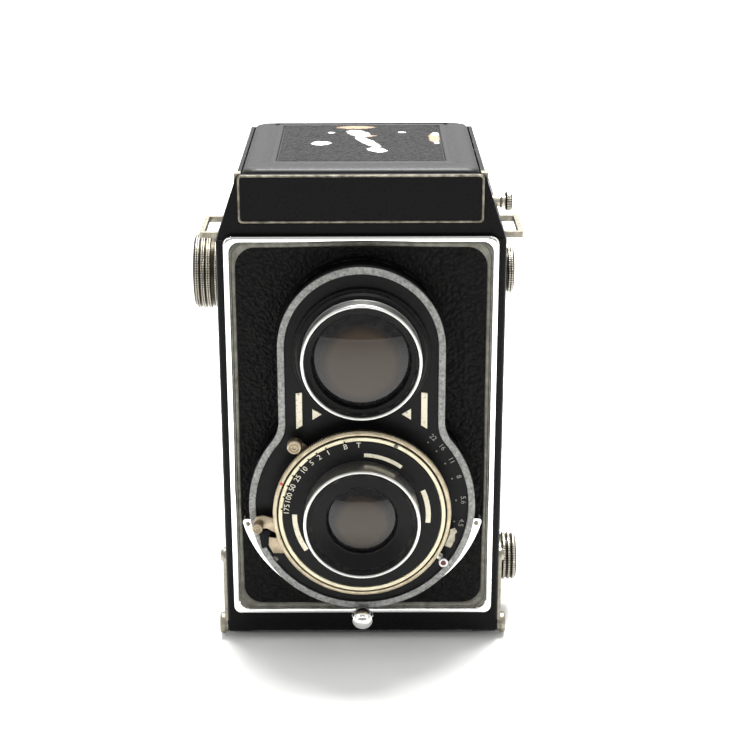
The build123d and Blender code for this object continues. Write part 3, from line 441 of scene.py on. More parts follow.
chrome = plated("bright_chrome", (0.86, 0.86, 0.84), (0.55, 0.53, 0.48), 0.07, 0.25, 0.12)
satin_chrome = plated("satin_chrome", (0.56, 0.56, 0.54), (0.45, 0.44, 0.40), 0.28, 0.35, 0.2)
nickel = plated("tarnished_nickel", (0.33, 0.31, 0.25), (0.12, 0.105, 0.08), 0.33, 0.7, 0.3, grain=0.8)
warm_nickel = plated("champagne_nickel", (0.42, 0.365, 0.26), (0.19, 0.155, 0.105), 0.32, 0.55, 0.25)
bare_rim = plated("dull_aluminium", (0.30, 0.30, 0.29), (0.075, 0.075, 0.07), 0.42, 0.8, 0.7, 0.06, 0.2,
                  grain=1.5)
# Painted shade: the bezel's inner step gets a dark metal colour where shade falls.
step_painted_shade = plated("bezel_step_painted_shade", (0.13, 0.127, 0.11), (0.04, 0.038, 0.03), 0.30, 0.6, 0.4)
brown_nickel = plated("brown_nickel", (0.33, 0.275, 0.195), (0.15, 0.115, 0.08), 0.32, 0.55, 0.25)
worn_border = plated("worn_border_metal", (0.34, 0.31, 0.24), (0.05, 0.045, 0.04), 0.45, 0.9, 0.5)
cream_ring = plated("cream_ring_metal", (0.50, 0.46, 0.34), (0.30, 0.26, 0.18), 0.38, 0.35, 0.2)
brass = plated("spring_brass", (0.62, 0.48, 0.24), (0.30, 0.22, 0.11), 0.35, 0.5)
steel = plated("blued_steel", (0.10, 0.10, 0.105), (0.05, 0.05, 0.05), 0.35, 0.4)
silvering = plated("mirror_silver", (0.90, 0.91, 0.92), (0.80, 0.81, 0.82), 0.02, 0.1, 0.02)

# %% [markdown]
# ### Cream paint
# Cream paint fills the engraved figures and the inlays. It has yellowed, and the thin strips
# are chipped.

# %% Cream and red paint
def paint_fill(name, colour, chips=0.0):
    f = Finish(name, colour, roughness=0.45, specular=0.4)
    tone = f.blend(f.noise(0.6, 3.0), tuple(c * 0.82 for c in colour), colour)
    if chips:
        chipped = f.ramp(f.noise(1.3, 4.0, 0.8), 0.60, 0.64, 0.0, chips)
        tone = f.blend(chipped, tone, (0.05, 0.045, 0.035))
    f.link(tone, "Base Color")
    f.bump(f.noise(2.0, 2.0), 0.02, 0.3)
    return f.material


cream = paint_fill("cream_inlay", (0.74, 0.69, 0.54), chips=0.8)
figures = paint_fill("cream_figures", (0.70, 0.67, 0.55))
faint_figures = paint_fill("rubbed_figures", (0.26, 0.25, 0.22), chips=0.9)
white_fill = paint_fill("white_fill", (0.80, 0.80, 0.78))
red = paint_fill("red_dot", (0.45, 0.03, 0.03))
dark_red = paint_fill("dark_red_dot", (0.10, 0.01, 0.015))

# %% [markdown]
# ### Glass
# The lenses are opaque, and they look grey and brown rather than blue. Their dark colour is painted
# shade of the camera's inside, and a low brown disc is a painted reflection of the element behind
# the front one. The screen is ground on one face.

# %% Lens glass, ground glass and ruby
GLASS_IOR = 1.5
VIEW_GLASS_R, TAKE_GLASS_R = 12.9, 9.2


def clear_glass(name, tint, roughness, through=1.0):
    f = Finish(name, tint, roughness=roughness)
    f.shader.inputs["IOR"].default_value = GLASS_IOR
    f.shader.inputs["Transmission Weight"].default_value = through
    f.link(f.ramp(f.noise(0.8, 4.0, 0.7), 0.45, 0.80, roughness, roughness + 0.06), "Roughness")
    return f.material


def lens_with_painted_reflection(name, axis, radius):
    """An opaque lens coloured dark as painted shade of the camera's inside, with a brown disc as a painted
    reflection of the element behind it.
    """
    f = Finish(name, (0.020, 0.014, 0.010), roughness=0.03, specular=0.38)
    f.shader.inputs["IOR"].default_value = GLASS_IOR
    behind = (axis.x / MM, -50.0, axis.z / MM - radius * 0.08)
    haze = f.ramp(f.noise(0.35, 3.0), 0.35, 0.75)
    tone = f.blend(haze, (0.006, 0.006, 0.007), (0.016, 0.015, 0.015))
    # A dark disc is painted shade, and a softer brown disc set a little low is a painted reflection of the
    # element behind.
    for share, soft, colour in ((0.80, 0.06, (0.004, 0.004, 0.004)), (0.75, 0.3, (0.036, 0.026, 0.018))):
        sizes = (radius * share, 90, radius * share)
        tone = f.blend(f.patch(behind, sizes, 0, 0.05, soft), tone, colour)
    f.link(tone, "Base Color")
    f.link(f.ramp(f.noise(2.0, 2.0), 0.60, 0.80, 0.02, 0.12), "Roughness")
    f.bump(f.noise(0.15, 1.0), 0.02, 0.1)
    return f.material


lens_glass = lens_with_painted_reflection("viewing_lens_glass", VIEW_AXIS, VIEW_GLASS_R)
taking_glass = lens_with_painted_reflection("taking_lens_glass", TAKE_AXIS, TAKE_GLASS_R)
ground_glass = clear_glass("ground_glass", (0.82, 0.84, 0.83), 0.55)
ruby_glass = clear_glass("ruby_window", (0.45, 0.02, 0.02), 0.08, 0.7)

# %% [markdown]
# The floor is plain, matt and almost white.

# %% Floor finish
FLOOR_WHITE = (0.90, 0.90, 0.885)
floor_finish = Finish("white_floor", FLOOR_WHITE, roughness=0.9, specular=0.1)
floor_tone = floor_finish.blend(floor_finish.noise(0.004, 2.0), FLOOR_WHITE, (0.92, 0.92, 0.91))
floor_finish.link(floor_tone, "Base Color")
paint(floor, floor_finish.material)

# %% [markdown]
# ## Finishes for the model's own parts
# Parts whose solid is already the right shape stay, and only get a finish.

# %% Give each model part its finish
by_slot = {
    "black_lacquer": lacquer, "leatherette": leatherette, "bright_chrome": chrome, "nickel": nickel,
    "warm_nickel": warm_nickel, "worn_aluminium": bare_rim, "board_enamel": enamel, "cream_metal": cream,
    "chamber_black": matt_black, "mirror_silver": silvering, "ground_glass": ground_glass,
    "lens_glass": lens_glass, "ruby": ruby_glass, "spring_brass": brass, "blade_steel": steel,
    "spool_black": enamel,
}
for part in frame["record"]["subparts"]:
    o = frame["nodes"][part["node"]]
    for index in range(len(o.material_slots)):
        o.material_slots[index].material = by_slot[part["material_slot"]]

# %% [markdown]
# ## Turned parts
# Knobs, rims and rings come off a lathe. A vertex is extruded along the profile and then spun
# round the axis. Modelling the profile once is simpler than stacking cylinders, and it gives
# clean rings of faces that can be knurled afterwards.

# %% Spin a profile
ALONG = {"X": Vector((1, 0, 0)), "Y": Vector((0, 1, 0)), "Z": Vector((0, 0, 1))}
OUTWARD = {"X": Vector((0, 0, 1)), "Y": Vector((1, 0, 0)), "Z": Vector((1, 0, 0))}


def start_vertex(place):
    """A lone vertex in edit mode: a tiny plane merged to its middle."""
    deselect()
    bpy.ops.mesh.primitive_plane_add(size=MM, location=place)
    mode("EDIT")
    bpy.ops.mesh.select_mode(type="VERT")
    bpy.ops.mesh.select_all(action="SELECT")
    bpy.ops.mesh.merge(type="CENTER")


def extrude(by):
    bpy.ops.mesh.extrude_region_move(TRANSFORM_OT_translate={"value": by})


def draw_line(spots):
    """Extrudes a lone vertex through a row of places and leaves the whole line selected."""
    start_vertex(spots[0])
    for here, there in zip(spots, spots[1:]):
        extrude(there - here)
    bpy.ops.mesh.select_all(action="SELECT")


def weld():
    """Merges vertices of the open mesh that lie on one another, and turns its faces outwards."""
    bpy.ops.mesh.select_all(action="SELECT")
    bpy.ops.mesh.remove_doubles(threshold=1e-6)
    bpy.ops.mesh.normals_make_consistent(inside=False)


def turned(profile, centre, axis, steps=128):
    """Spins points of (radius, place along the axis), both in mm, about an axis through centre."""
    along, outward = ALONG[axis], OUTWARD[axis]
    centre = Vector(centre)
    centre = centre - along * centre.dot(along)
    spots = [centre + outward * r * MM + along * a * MM for r, a in profile]
    draw_line(spots)
    bpy.ops.mesh.spin(steps=steps, angle=2 * pi, center=centre, axis=along)
    weld()
    return settle(bpy.context.object)


def select_faces(o, test):
    """Leaves the object in edit mode with the faces selected whose centre and normal pass."""
    pick(o)
    mode("EDIT")
    bpy.ops.mesh.select_mode(type="FACE")
    bpy.ops.mesh.select_all(action="DESELECT")
    mode("OBJECT")
    for face in o.data.polygons:
        face.select = test(face.center, face.normal)
    mode("EDIT")


def off_axis(point, centre, axis):
    """Distance of a point from an axis, in mm."""
    gap = Vector(point) - Vector(centre)
    gap -= ALONG[axis] * gap.dot(ALONG[axis])
    return gap.length / MM


def knurl(o, centre, axis, radius, edge, height):
    """Turns each face beyond a radius into one tooth: an inset with a raised middle."""
    select_faces(o, lambda c, n: off_axis(c, centre, axis) > radius and abs(n.dot(ALONG[axis])) < 0.2)
    bpy.ops.mesh.inset(thickness=edge * MM, depth=height * MM, use_individual=True)
    mode("OBJECT")


def mirrored(profile):
    """The same profile for the left side of the camera."""
    return [(r, -a) for r, a in profile]


def from_face(face, profile):
    """A profile whose second numbers are depths behind a face."""
    return [(r, face + a) for r, a in profile]


TOOTH_HEIGHT = 0.3
KNOB_BRIGHT, KNOB_DULL = (0.54, 0.51, 0.43), (0.28, 0.25, 0.20)


def milled_knob(node, profile, radius, smooth_radius, steps, edge=0.16):
    """Turns a knob, mills what lies beyond its smooth radius and paints shade into the grooves there."""
    at = middle(node)
    knob = turned(profile, at, "X", steps)
    knurl(knob, at, "X", smooth_radius, edge, TOOTH_HEIGHT)
    metal = plated("milled_" + node, KNOB_BRIGHT, KNOB_DULL, 0.30, 0.5, 0.15, grooves=(at, radius))
    finish_piece(knob, node + "_milled", node, metal)
    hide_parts(node)


def rim_band(radius, start, end, rows, drop=0.3):
    """Profile points of one knurled rim: rounded shoulders and rows of equal faces."""
    step = (end - start) / rows
    flat = [(radius - drop, start + i * step) for i in range(rows + 1)]
    return [(radius - 0.5, start - 0.14)] + flat + [(radius - 0.5, end + 0.14)]

# %% [markdown]
# ## Winding knob
# The large knob on the left winds the film. Four rims with waists between them are milled with
# two rows of square teeth each. The teeth are made by insetting every rim face on its own.

# %% Winding knob
WIND_STEPS = 96
WIND_RIMS = ((41.8, 43.1), (44.3, 45.5), (45.95, 47.1), (47.55, 48.7))
WIND_R = (high_of("wind_knob").z - low_of("wind_knob").z) / 2 / MM
wind_profile = [(0, 31.2), (3.0, 31.2), (3.0, 39.5), (8.0, 39.6), (8.0, 41.5)]
for start, end in WIND_RIMS:
    wind_profile += rim_band(WIND_R, start, end, 2)
wind_profile += [(WIND_R - 0.55, 49.1), (9.9, 49.45), (8.5, 49.5), (8.2, 49.2), (7.9, 49.0)]
wind_profile += [(2.6, 49.0), (2.3, 49.25), (0, 49.3)]
milled_knob("wind_knob", mirrored(wind_profile), WIND_R, WIND_R - 0.45, WIND_STEPS)
print("winding knob teeth", WIND_STEPS * len(WIND_RIMS) * 2)

# %% [markdown]
# ## Spool knobs
# Two smaller knobs on the right pull out to free the spools. The upper one is mostly hidden
# behind the body and the lower one stands clear of it.

# %% Spool knobs
SPOOL_KNOB_R = 6.85
upper_profile = [(0, 26.0), (2.5, 26.0), (2.5, 38.9), (5.4, 38.95), (5.4, 40.9)]
for start, end in ((41.2, 42.5), (43.1, 44.5)):
    upper_profile += rim_band(6.8, start, end, 2)
upper_profile += [(5.9, 44.95), (4.6, 45.0), (4.3, 44.7), (1.6, 44.7), (1.4, 45.0), (0, 45.0)]
lower_profile = [(0, 27.5), (2.5, 27.5), (2.5, 38.9), (4.8, 38.95), (4.8, 39.9)]
for start, end in ((40.25, 41.15), (41.65, 42.45), (42.95, 43.75)):
    lower_profile += rim_band(SPOOL_KNOB_R, start, end, 1)
lower_profile += [(6.1, 44.15), (4.7, 44.2), (4.4, 43.95), (1.6, 43.95), (1.4, 44.2), (0, 44.2)]
for node, profile in (("upper_spool_knob", upper_profile), ("lower_spool_knob", lower_profile)):
    milled_knob(node, profile, SPOOL_KNOB_R, SPOOL_KNOB_R - 0.45, 60)

# %% Counter knob, with long straight teeth
counter_profile = [
    (0, 33.6), (1.76, 33.6), (1.76, 34.2), (1.6, 34.3), (1.6, 38.6), (2.0, 38.7), (2.0, 39.2), (1.6, 39.3),
    (1.6, 40.0), (2.3, 40.1), (2.52, 40.35), (2.52, 41.75), (2.3, 42.0), (0.9, 42.0), (0.7, 41.8), (0, 41.8),
]
milled_knob("counter_knob", counter_profile, 2.82, 2.4, 26, 0.15)

# %% [markdown]
# ## Shutter speed ring
# The champagne ring round the shutter has a fine milled edge, a dark groove, and a flat cream
# face inside it. Three finishes on one lathe profile would need three slots, so the ring, the
# groove and the face are three pieces that ride together.

# %% Speed ring
RING_FRONT = low_of("speed_ring").y / MM
RING_R = (high_of("speed_ring").x - low_of("speed_ring").x) / 2 / MM
ring_profile = from_face(RING_FRONT, [
    (22.55, 3.1), (22.55, 0.45), (22.7, 0.25), (23.15, 0.2), (23.35, 0.35), (RING_R - 0.2, 0.6),
    (RING_R - 0.2, 1.9), (23.2, 2.2), (23.2, 3.1), (22.55, 3.1),
])
ring = turned(ring_profile, TAKE_AXIS, "Y", steps=240)
knurl(ring, TAKE_AXIS, "Y", RING_R - 0.3, 0.11, 0.22)
select_faces(ring, lambda c, n: 23.36 < off_axis(c, TAKE_AXIS, "Y") < 23.5 and n.y < -0.3)
bpy.ops.mesh.inset(thickness=0.06 * MM, depth=0.12 * MM, use_individual=True)
mode("OBJECT")
finish_piece(ring, "speed_ring_milled", "speed_ring", warm_nickel)

groove_profile = from_face(RING_FRONT, [(22.55, 3.0), (22.55, 0.6), (22.2, 0.6), (22.2, 3.0), (22.55, 3.0)])
groove = turned(groove_profile, TAKE_AXIS, "Y")
finish_piece(groove, "speed_ring_groove", "speed_ring", matt_black)

face_profile = from_face(RING_FRONT, [
    (22.2, 3.0), (22.2, 0.15), (22.1, 0), (21.25, 0), (21.1, 0.15), (21.1, 0.9), (20.75, 0.9),
    (20.75, 3.0), (22.2, 3.0),
])
face = turned(face_profile, TAKE_AXIS, "Y", steps=160)
finish_piece(face, "speed_ring_face", "speed_ring", cream_ring)
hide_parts("speed_ring")

# %% [markdown]
# ## Shutter face
# A black enamelled plate fills the ring. It carries the speed figures, three cream arcs and
# ticks on the ring's inner edge. Figures are real letters, turned so that their tops point
# outwards, and set a few hundredths of a millimetre into the plate.

# %% Shutter face plate
FACE_Y = low_of("shutter_face").y / MM
plate_profile = from_face(FACE_Y, [
    (21.0, 0.75), (21.0, 0.1), (20.9, 0), (19.3, 0), (15.5, -0.15), (15.4, 0.75), (21.0, 0.75),
])
plate = turned(plate_profile, TAKE_AXIS, "Y")
finish_piece(plate, "shutter_face_plate", "lens_board", enamel)
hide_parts("shutter_face")


# %% Figures and arcs that sit on a face square to Y
def round_place(radius, angle, y):
    """A place round the taking axis; radius and y are in mm."""
    a = radians(angle)
    return Vector((TAKE_AXIS.x + radius * cos(a) * MM, y * MM, TAKE_AXIS.z + radius * sin(a) * MM))


CAP_HEIGHT = 0.70
FIGURE_DEPTH = 0.06


def figure(text, place, turn, height):
    """One line of figures, centred on a place and turned in the plane that faces forwards."""
    deselect()
    bpy.ops.object.text_add(location=(0, 0, 0))
    o = bpy.context.object
    o.data.body = text
    o.data.size = height * MM / CAP_HEIGHT
    o.data.align_x, o.data.align_y = "CENTER", "CENTER"
    o.data.extrude = FIGURE_DEPTH / 2 * MM
    o.data.resolution_u = 3
    o.data.offset = -0.006 * height * MM
    bpy.ops.object.convert(target="MESH")
    upright = Matrix.Rotation(radians(90), 4, "X")
    o.matrix_world = Matrix.Translation(place) @ Matrix.Rotation(-radians(turn), 4, "Y") @ upright
    return settle(o)


def arc_strip(radius, width, start, end, y, depth=0.2):
    """A flat curved strip: a short edge is spun through the arc, then given a thickness."""
    inner = round_place(radius - width / 2, start, y)
    outer = round_place(radius + width / 2, start, y)
    draw_line([inner, outer])
    steps = max(3, int(abs(end - start) / 3))
    centre = Vector((TAKE_AXIS.x, 0, TAKE_AXIS.z))
    bpy.ops.mesh.spin(steps=steps, angle=radians(end - start), center=centre, axis=(0, 1, 0))
    bpy.ops.mesh.select_all(action="SELECT")
    extrude((0, depth * MM, 0))
    bpy.ops.mesh.select_all(action="SELECT")
    bpy.ops.mesh.normals_make_consistent(inside=False)
    return settle(bpy.context.object)


SPEEDS = (
    ("175", 174.8), ("100", 165.4), ("50", 156.4), ("25", 147.7), ("10", 139.4), ("5", 131.0), ("2", 123.7),
    ("1", 116.0), ("B", 102.3), ("T", 92.3),
)
SCALE_R = 20.0
speed_figures = join([
    figure(text, round_place(SCALE_R, angle, FACE_Y - 0.01), angle - 90, 1.45)
    for text, angle in SPEEDS
])
finish_piece(speed_figures, "speed_figures", "lens_board", figures)

face_arcs = join([
    arc_strip(17.3, 1.0, 88, 53, FACE_Y - 0.13),
    arc_strip(17.6, 1.3, 24, -7, FACE_Y - 0.11),
    arc_strip(17.9, 1.3, 179, 214, FACE_Y - 0.10),
])
finish_piece(face_arcs, "shutter_face_arcs", "lens_board", cream)

# %% Ticks on the ring's inner edge and its two marks
HALF_TICK = 0.55
ticks = join([
    arc_strip(21.35, 0.65, angle - HALF_TICK, angle + HALF_TICK, RING_FRONT - 0.03, 0.1)
    for _, angle in SPEEDS[:9]
])
finish_piece(ticks, "speed_ticks", "speed_ring", matt_black)


def dome_y(place, radius, height, steps=24, slot=False):
    """A low screw head or dot that stands forward from a place, spun from a curved profile."""
    y = place.y / MM
    curve = [(radius * cos(radians(a)), y - height * sin(radians(a))) for a in (0, 25, 50, 75)]
    o = turned([(0, y + 0.3), (radius, y + 0.3)] + curve + [(0, y - height)], place, "Y", steps)
    if slot:
        cut_slot(o, place, radius)
    return o


SLOT_TURN = radians(35)


def cut_slot(o, place, radius):
    """Presses a slot into a screw head: two cuts by bisect, then the faces between are sunk."""
    across = Vector((-sin(SLOT_TURN), 0, cos(SLOT_TURN)))
    pick(o)
    mode("EDIT")
    for side in (-1, 1):
        bpy.ops.mesh.select_all(action="SELECT")
        bpy.ops.mesh.bisect(plane_co=place + across * side * radius * 0.14 * MM, plane_no=across)
    mode("OBJECT")
    select_faces(o, lambda c, n: abs((c - place).dot(across)) < radius * 0.13 * MM and n.y < -0.5)
    extrude((0, radius * 0.3 * MM, 0))
    mode("OBJECT")


red_mark = dome_y(round_place(23.1, 157, RING_FRONT + 0.25), 0.42, 0.22)
finish_piece(red_mark, "speed_index_dot", "speed_ring", red, 40)
ring_screw = dome_y(round_place(21.6, 65.5, RING_FRONT + 0.02), 0.62, 0.2, slot=True)
finish_piece(ring_screw, "speed_ring_screw", "speed_ring", steel, 40)

# %% [markdown]
# ## Aperture scale
# The aperture figures are painted straight on the lens board round the shutter. They are rubbed
# and grey, with a small dot beside each figure.

# %% Aperture figures
BOARD_FRONT = low_of("lens_board").y / MM
APERTURES = (("22", 46.0), ("16", 38.3), ("11", 28.6), ("8", 17.8), ("5.6", 3.2), ("4.5", -11.0))
FIGURE_R, DOT_R = 27.2, 25.3
stops = [
    figure(text, round_place(FIGURE_R, angle, BOARD_FRONT - 0.01), angle - 90, 1.35)
    for text, angle in APERTURES
]
stops += [dome_y(round_place(DOT_R, angle, BOARD_FRONT), 0.22, 0.05, 12) for _, angle in APERTURES]
finish_piece(join(stops), "aperture_figures", "lens_board", faint_figures, 40)

# %% A screw on the lens board
small_screw = dome_y(Vector((-23.7, BOARD_FRONT, 29.7)) * MM, 0.85, 0.35, slot=True)
finish_piece(small_screw, "board_screw", "lens_board", bare_rim, 40)

# %% [markdown]
# ## Lenses
# Each lens has a thin bright rim, a black threaded barrel that steps inwards to the glass, and a
# strongly curved front element. The bright rim is rolled over at its front edge, so its profile
# has a small round nose. Fine threads in the barrel are a zigzag in the same profile.

# %% Rims and barrels
def rolled_rim(outer, inner, front, rear):
    """A thin rim with a round nose and a shallow groove near its rear."""
    mid = (outer + inner) / 2
    half = (outer - inner) / 2
    turns = [radians(a) for a in range(0, 181, 20)]
    nose = [(mid + half * cos(a), front + half - half * sin(a)) for a in turns]
    groove = [(outer, -0.5), (outer - 0.12, -0.55), (outer - 0.12, -0.75), (outer, -0.8)]
    return [(outer, rear)] + from_face(rear, groove) + nose + [(inner, rear), (outer, rear)]


VIEW_FRONT = low_of("viewing_rim").y / MM
TAKE_FRONT = low_of("taking_rim").y / MM
VIEW_REAR, TAKE_REAR = -46.0, -48.8
VIEW_BORE, TAKE_BORE = 14.85, 14.55
view_rim = turned(rolled_rim(15.7, VIEW_BORE, VIEW_FRONT, VIEW_REAR), VIEW_AXIS, "Y")
finish_piece(view_rim, "viewing_rim_rolled", "lens_board", satin_chrome, 40)
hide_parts("viewing_rim")
take_rim = turned(rolled_rim(15.4, TAKE_BORE, TAKE_FRONT, TAKE_REAR), TAKE_AXIS, "Y")
finish_piece(take_rim, "taking_rim_rolled", "lens_board", satin_chrome, 40)
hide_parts("taking_rim")


THREAD_DEPTH, THREADS = 0.12, 4


def threads(start_radius, start_y, end_radius, end_y):
    """A fine zigzag between two points of a profile."""
    points = []
    for i in range(THREADS):
        for share, sunk in ((i / THREADS, 0), ((i + 0.5) / THREADS, THREAD_DEPTH)):
            radius = start_radius + (end_radius - start_radius) * share - sunk
            points.append((radius, start_y + (end_y - start_y) * share))
    return points + [(end_radius, end_y)]


view_barrel_profile = [(VIEW_BORE, VIEW_REAR), (VIEW_BORE, VIEW_FRONT + 0.5), (14.7, VIEW_FRONT + 0.45)]
view_barrel_profile += threads(14.5, VIEW_FRONT + 0.5, 14.3, VIEW_FRONT + 1.4)
view_barrel_profile += from_face(VIEW_FRONT, [(13.1, 1.55), (12.95, 1.8), (VIEW_GLASS_R, 3.2)])
view_barrel_profile += [(12.75, -43.2), (13.6, -43.05), (VIEW_BORE, VIEW_REAR)]
view_barrel = turned(view_barrel_profile, VIEW_AXIS, "Y")
finish_piece(view_barrel, "viewing_barrel_turned", "lens_board", enamel)

take_barrel_profile = [(TAKE_BORE, TAKE_REAR), (TAKE_BORE, TAKE_FRONT + 0.75), (14.3, TAKE_FRONT + 0.7)]
take_barrel_profile += threads(14.15, TAKE_FRONT + 0.8, 13.5, TAKE_FRONT + 1.6)
take_barrel_profile += from_face(TAKE_FRONT, [(13.3, 1.55), (9.75, 3.1), (9.5, 3.0), (9.25, 3.4)])
take_barrel_profile += [(TAKE_GLASS_R, TAKE_REAR), (TAKE_BORE, TAKE_REAR)]
take_barrel = turned(take_barrel_profile, TAKE_AXIS, "Y")
finish_piece(take_barrel, "taking_barrel_turned", "lens_board", enamel)
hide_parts("viewing_barrel")
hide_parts("taking_barrel")


# %% Glass
def lens_profile(radius, vertex, edge_front, rear, back_bow):
    """A convex front and a gently hollow back, from the middle out and back again."""
    steps = range(15)
    front = [(radius * i / 14, vertex + (edge_front - vertex) * (i / 14) ** 2) for i in steps]
    back = [(radius * i / 14, rear - back_bow * (1 - (i / 14) ** 2)) for i in reversed(steps)]
    return front + back


view_glass = turned(lens_profile(VIEW_GLASS_R, -49.9, -47.9, -46.6, 0.4), VIEW_AXIS, "Y", steps=96)
finish_piece(view_glass, "viewing_front_element", "lens_board", lens_glass, 60)
take_glass = turned(lens_profile(TAKE_GLASS_R, -53.7, -52.1, -50.4, 0.5), TAKE_AXIS, "Y", steps=96)
finish_piece(take_glass, "taking_front_element", "lens_board", taking_glass, 60)
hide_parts("viewing_glass")
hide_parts("taking_glass")

# %% Stepped collar round the viewing lens
collar_profile = from_face(BOARD_FRONT, [
    (18.0, 0), (18.0, -1.2), (17.8, -1.4), (17.25, -1.45), (17.2, -2.4), (16.7, -2.95), (15.95, -3.0),
    (15.85, -2.8), (13.65, -2.8), (13.6, 0), (18.0, 0),
])
collar = turned(collar_profile, VIEW_AXIS, "Y")
finish_piece(collar, "viewing_collar_turned", "lens_board", enamel)
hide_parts("viewing_collar")

# %% [markdown]
# ## Levers
# Four levers stand out from under the speed ring. Each is a flat ring round the shutter's core
# with an arm, and a knob or a pointer at its end. The arm is an outline that is filled and
# extruded, and the knob is turned with concentric grooves.

# %% Flat plates cut to an outline
def plate_y(points, front, rear, bevel=0.1):
    """Fills an outline of (x, z) in mm about the taking axis and gives it a thickness along Y."""
    base = Vector((TAKE_AXIS.x, 0, TAKE_AXIS.z))
    draw_line([base + Vector((x * MM, rear * MM, z * MM)) for x, z in points])
    bpy.ops.mesh.edge_face_add()
    extrude((0, (front - rear) * MM, 0))
    bpy.ops.mesh.select_all(action="SELECT")
    bpy.ops.mesh.normals_make_consistent(inside=False)
    o = settle(bpy.context.object)
    if bevel:
        softening = o.modifiers.new("Bevel", "BEVEL")
        softening.width, softening.segments = bevel * MM, 2
        softening.limit_method, softening.angle_limit = "ANGLE", radians(40)
        bpy.ops.object.modifier_apply(modifier=softening.name)
    return o


def polar(radius, angle):
    return radius * cos(radians(angle)), radius * sin(radians(angle))


def arm_outline(inner, outer, angle, half_in, half_out):
    """A tapered arm along a radius."""
    along, across = polar(1, angle), polar(1, angle + 90)
    corners = ((inner, -half_in), (outer, -half_out), (outer, half_out), (inner, half_in))
    return [(r * along[0] + t * across[0], r * along[1] + t * across[1]) for r, t in corners]


RING_THICK, RING_PITCH = 0.6, 0.75


def layer_ring(layer):
    """The flat ring of one lever and the place of its rear face; layer 0 is next to the board."""
    rear = BOARD_FRONT - 0.2 - layer * RING_PITCH
    flat = [(18.9, 0), (21.6, 0), (21.6, -RING_THICK), (18.9, -RING_THICK), (18.9, 0)]
    return turned(from_face(rear, flat), TAKE_AXIS, "Y", 96), rear


def grooved_knob(radius, angle, reach, front, rear):
    """A button with concentric grooves and a dished middle."""
    steps = [(0, rear), (radius * 0.8, rear), (radius * 0.8, rear - 0.5), (radius, rear - 0.8)]
    steps += [(radius, front + 0.35), (radius - 0.3, front)]
    rings = ((0.66, 0), (0.58, 0.22), (0.48, 0.22), (0.42, 0), (0.28, 0), (0.2, 0.25), (0, 0.3))
    steps += [(radius * share, front + sunk) for share, sunk in rings]
    return turned(steps, round_place(reach, angle, front), "Y", 40)


# %% Cocking lever
ARM_ROOT, KNOB_FRONT = 20.4, -48.6
COCK_ANGLE = 133
cock_ring, cock_rear = layer_ring(2)
cocking = join([
    cock_ring,
    plate_y(arm_outline(ARM_ROOT, 27.0, COCK_ANGLE, 2.2, 1.2), cock_rear - RING_THICK, cock_rear),
    grooved_knob(1.95, COCK_ANGLE, 25.9, KNOB_FRONT, cock_rear - 0.5),
])
finish_piece(cocking, "cocking_lever_plate", "cocking_lever", brown_nickel)
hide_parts("cocking_lever")

# %% Release lever and its catch
release_arm = [
    (-29.2, -3.6), (-28.4, -1.9), (-26.2, -1.6), (-24.3, -2.2), (-20.2, -4.6), (-20.6, -7.0), (-23.4, -6.6),
    (-25.6, -5.3), (-28.6, -5.6),
]
release_catch = [
    (-20.4, -7.0), (-23.6, -8.1), (-25.0, -7.8), (-25.2, -10.2), (-24.0, -12.6), (-21.2, -12.7),
    (-18.0, -9.5),
]
release_ring, release_rear = layer_ring(3)
release = join([
    release_ring,
    plate_y(release_arm, release_rear - RING_THICK, release_rear),
    plate_y(release_catch, release_rear - 0.65, release_rear - 0.05),
    grooved_knob(1.5, 189, 28.3, KNOB_FRONT, release_rear - 0.5),
])
finish_piece(release, "release_lever_plate", "release_lever", brown_nickel)
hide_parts("release_lever")
socket_outline = [(-28.0, -6.4), (-24.6, -6.0), (-24.4, -11.2), (-27.2, -11.8)]
socket = plate_y(socket_outline, BOARD_FRONT - 2.1, BOARD_FRONT, 0.3)
finish_piece(socket, "cable_socket", "lens_board", lacquer)

# %% Aperture pointer, with a serrated finger edge
POINTER_ANGLE = -19
aperture_ring, aperture_rear = layer_ring(0)
FINGER_START, FINGER_SPAN, TEETH = -24.0, 11.5, 11
finger = [polar(25.9, FINGER_START)]
for i in range(TEETH):
    at = FINGER_START + FINGER_SPAN * i / TEETH
    finger += [polar(24.45, at), polar(24.0, at + 0.55)]
finger_back = ((24.3, -11.8), (25.2, -10.6), (26.1, -13.0), (25.7, -14.6), (26.2, -18.5), (26.0, -22.0))
finger += [polar(radius, angle) for radius, angle in finger_back]
aperture = join([
    aperture_ring,
    plate_y(arm_outline(ARM_ROOT, 25.8, POINTER_ANGLE, 1.2, 1.0), aperture_rear - RING_THICK, aperture_rear),
    plate_y(arm_outline(24.2, 25.7, POINTER_ANGLE, 1.2, 1.2), -46.7, aperture_rear - 0.5),
    plate_y(finger, -47.5, -46.5, 0.0),
])
finish_piece(aperture, "aperture_pointer", "aperture_lever", nickel)
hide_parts("aperture_lever")

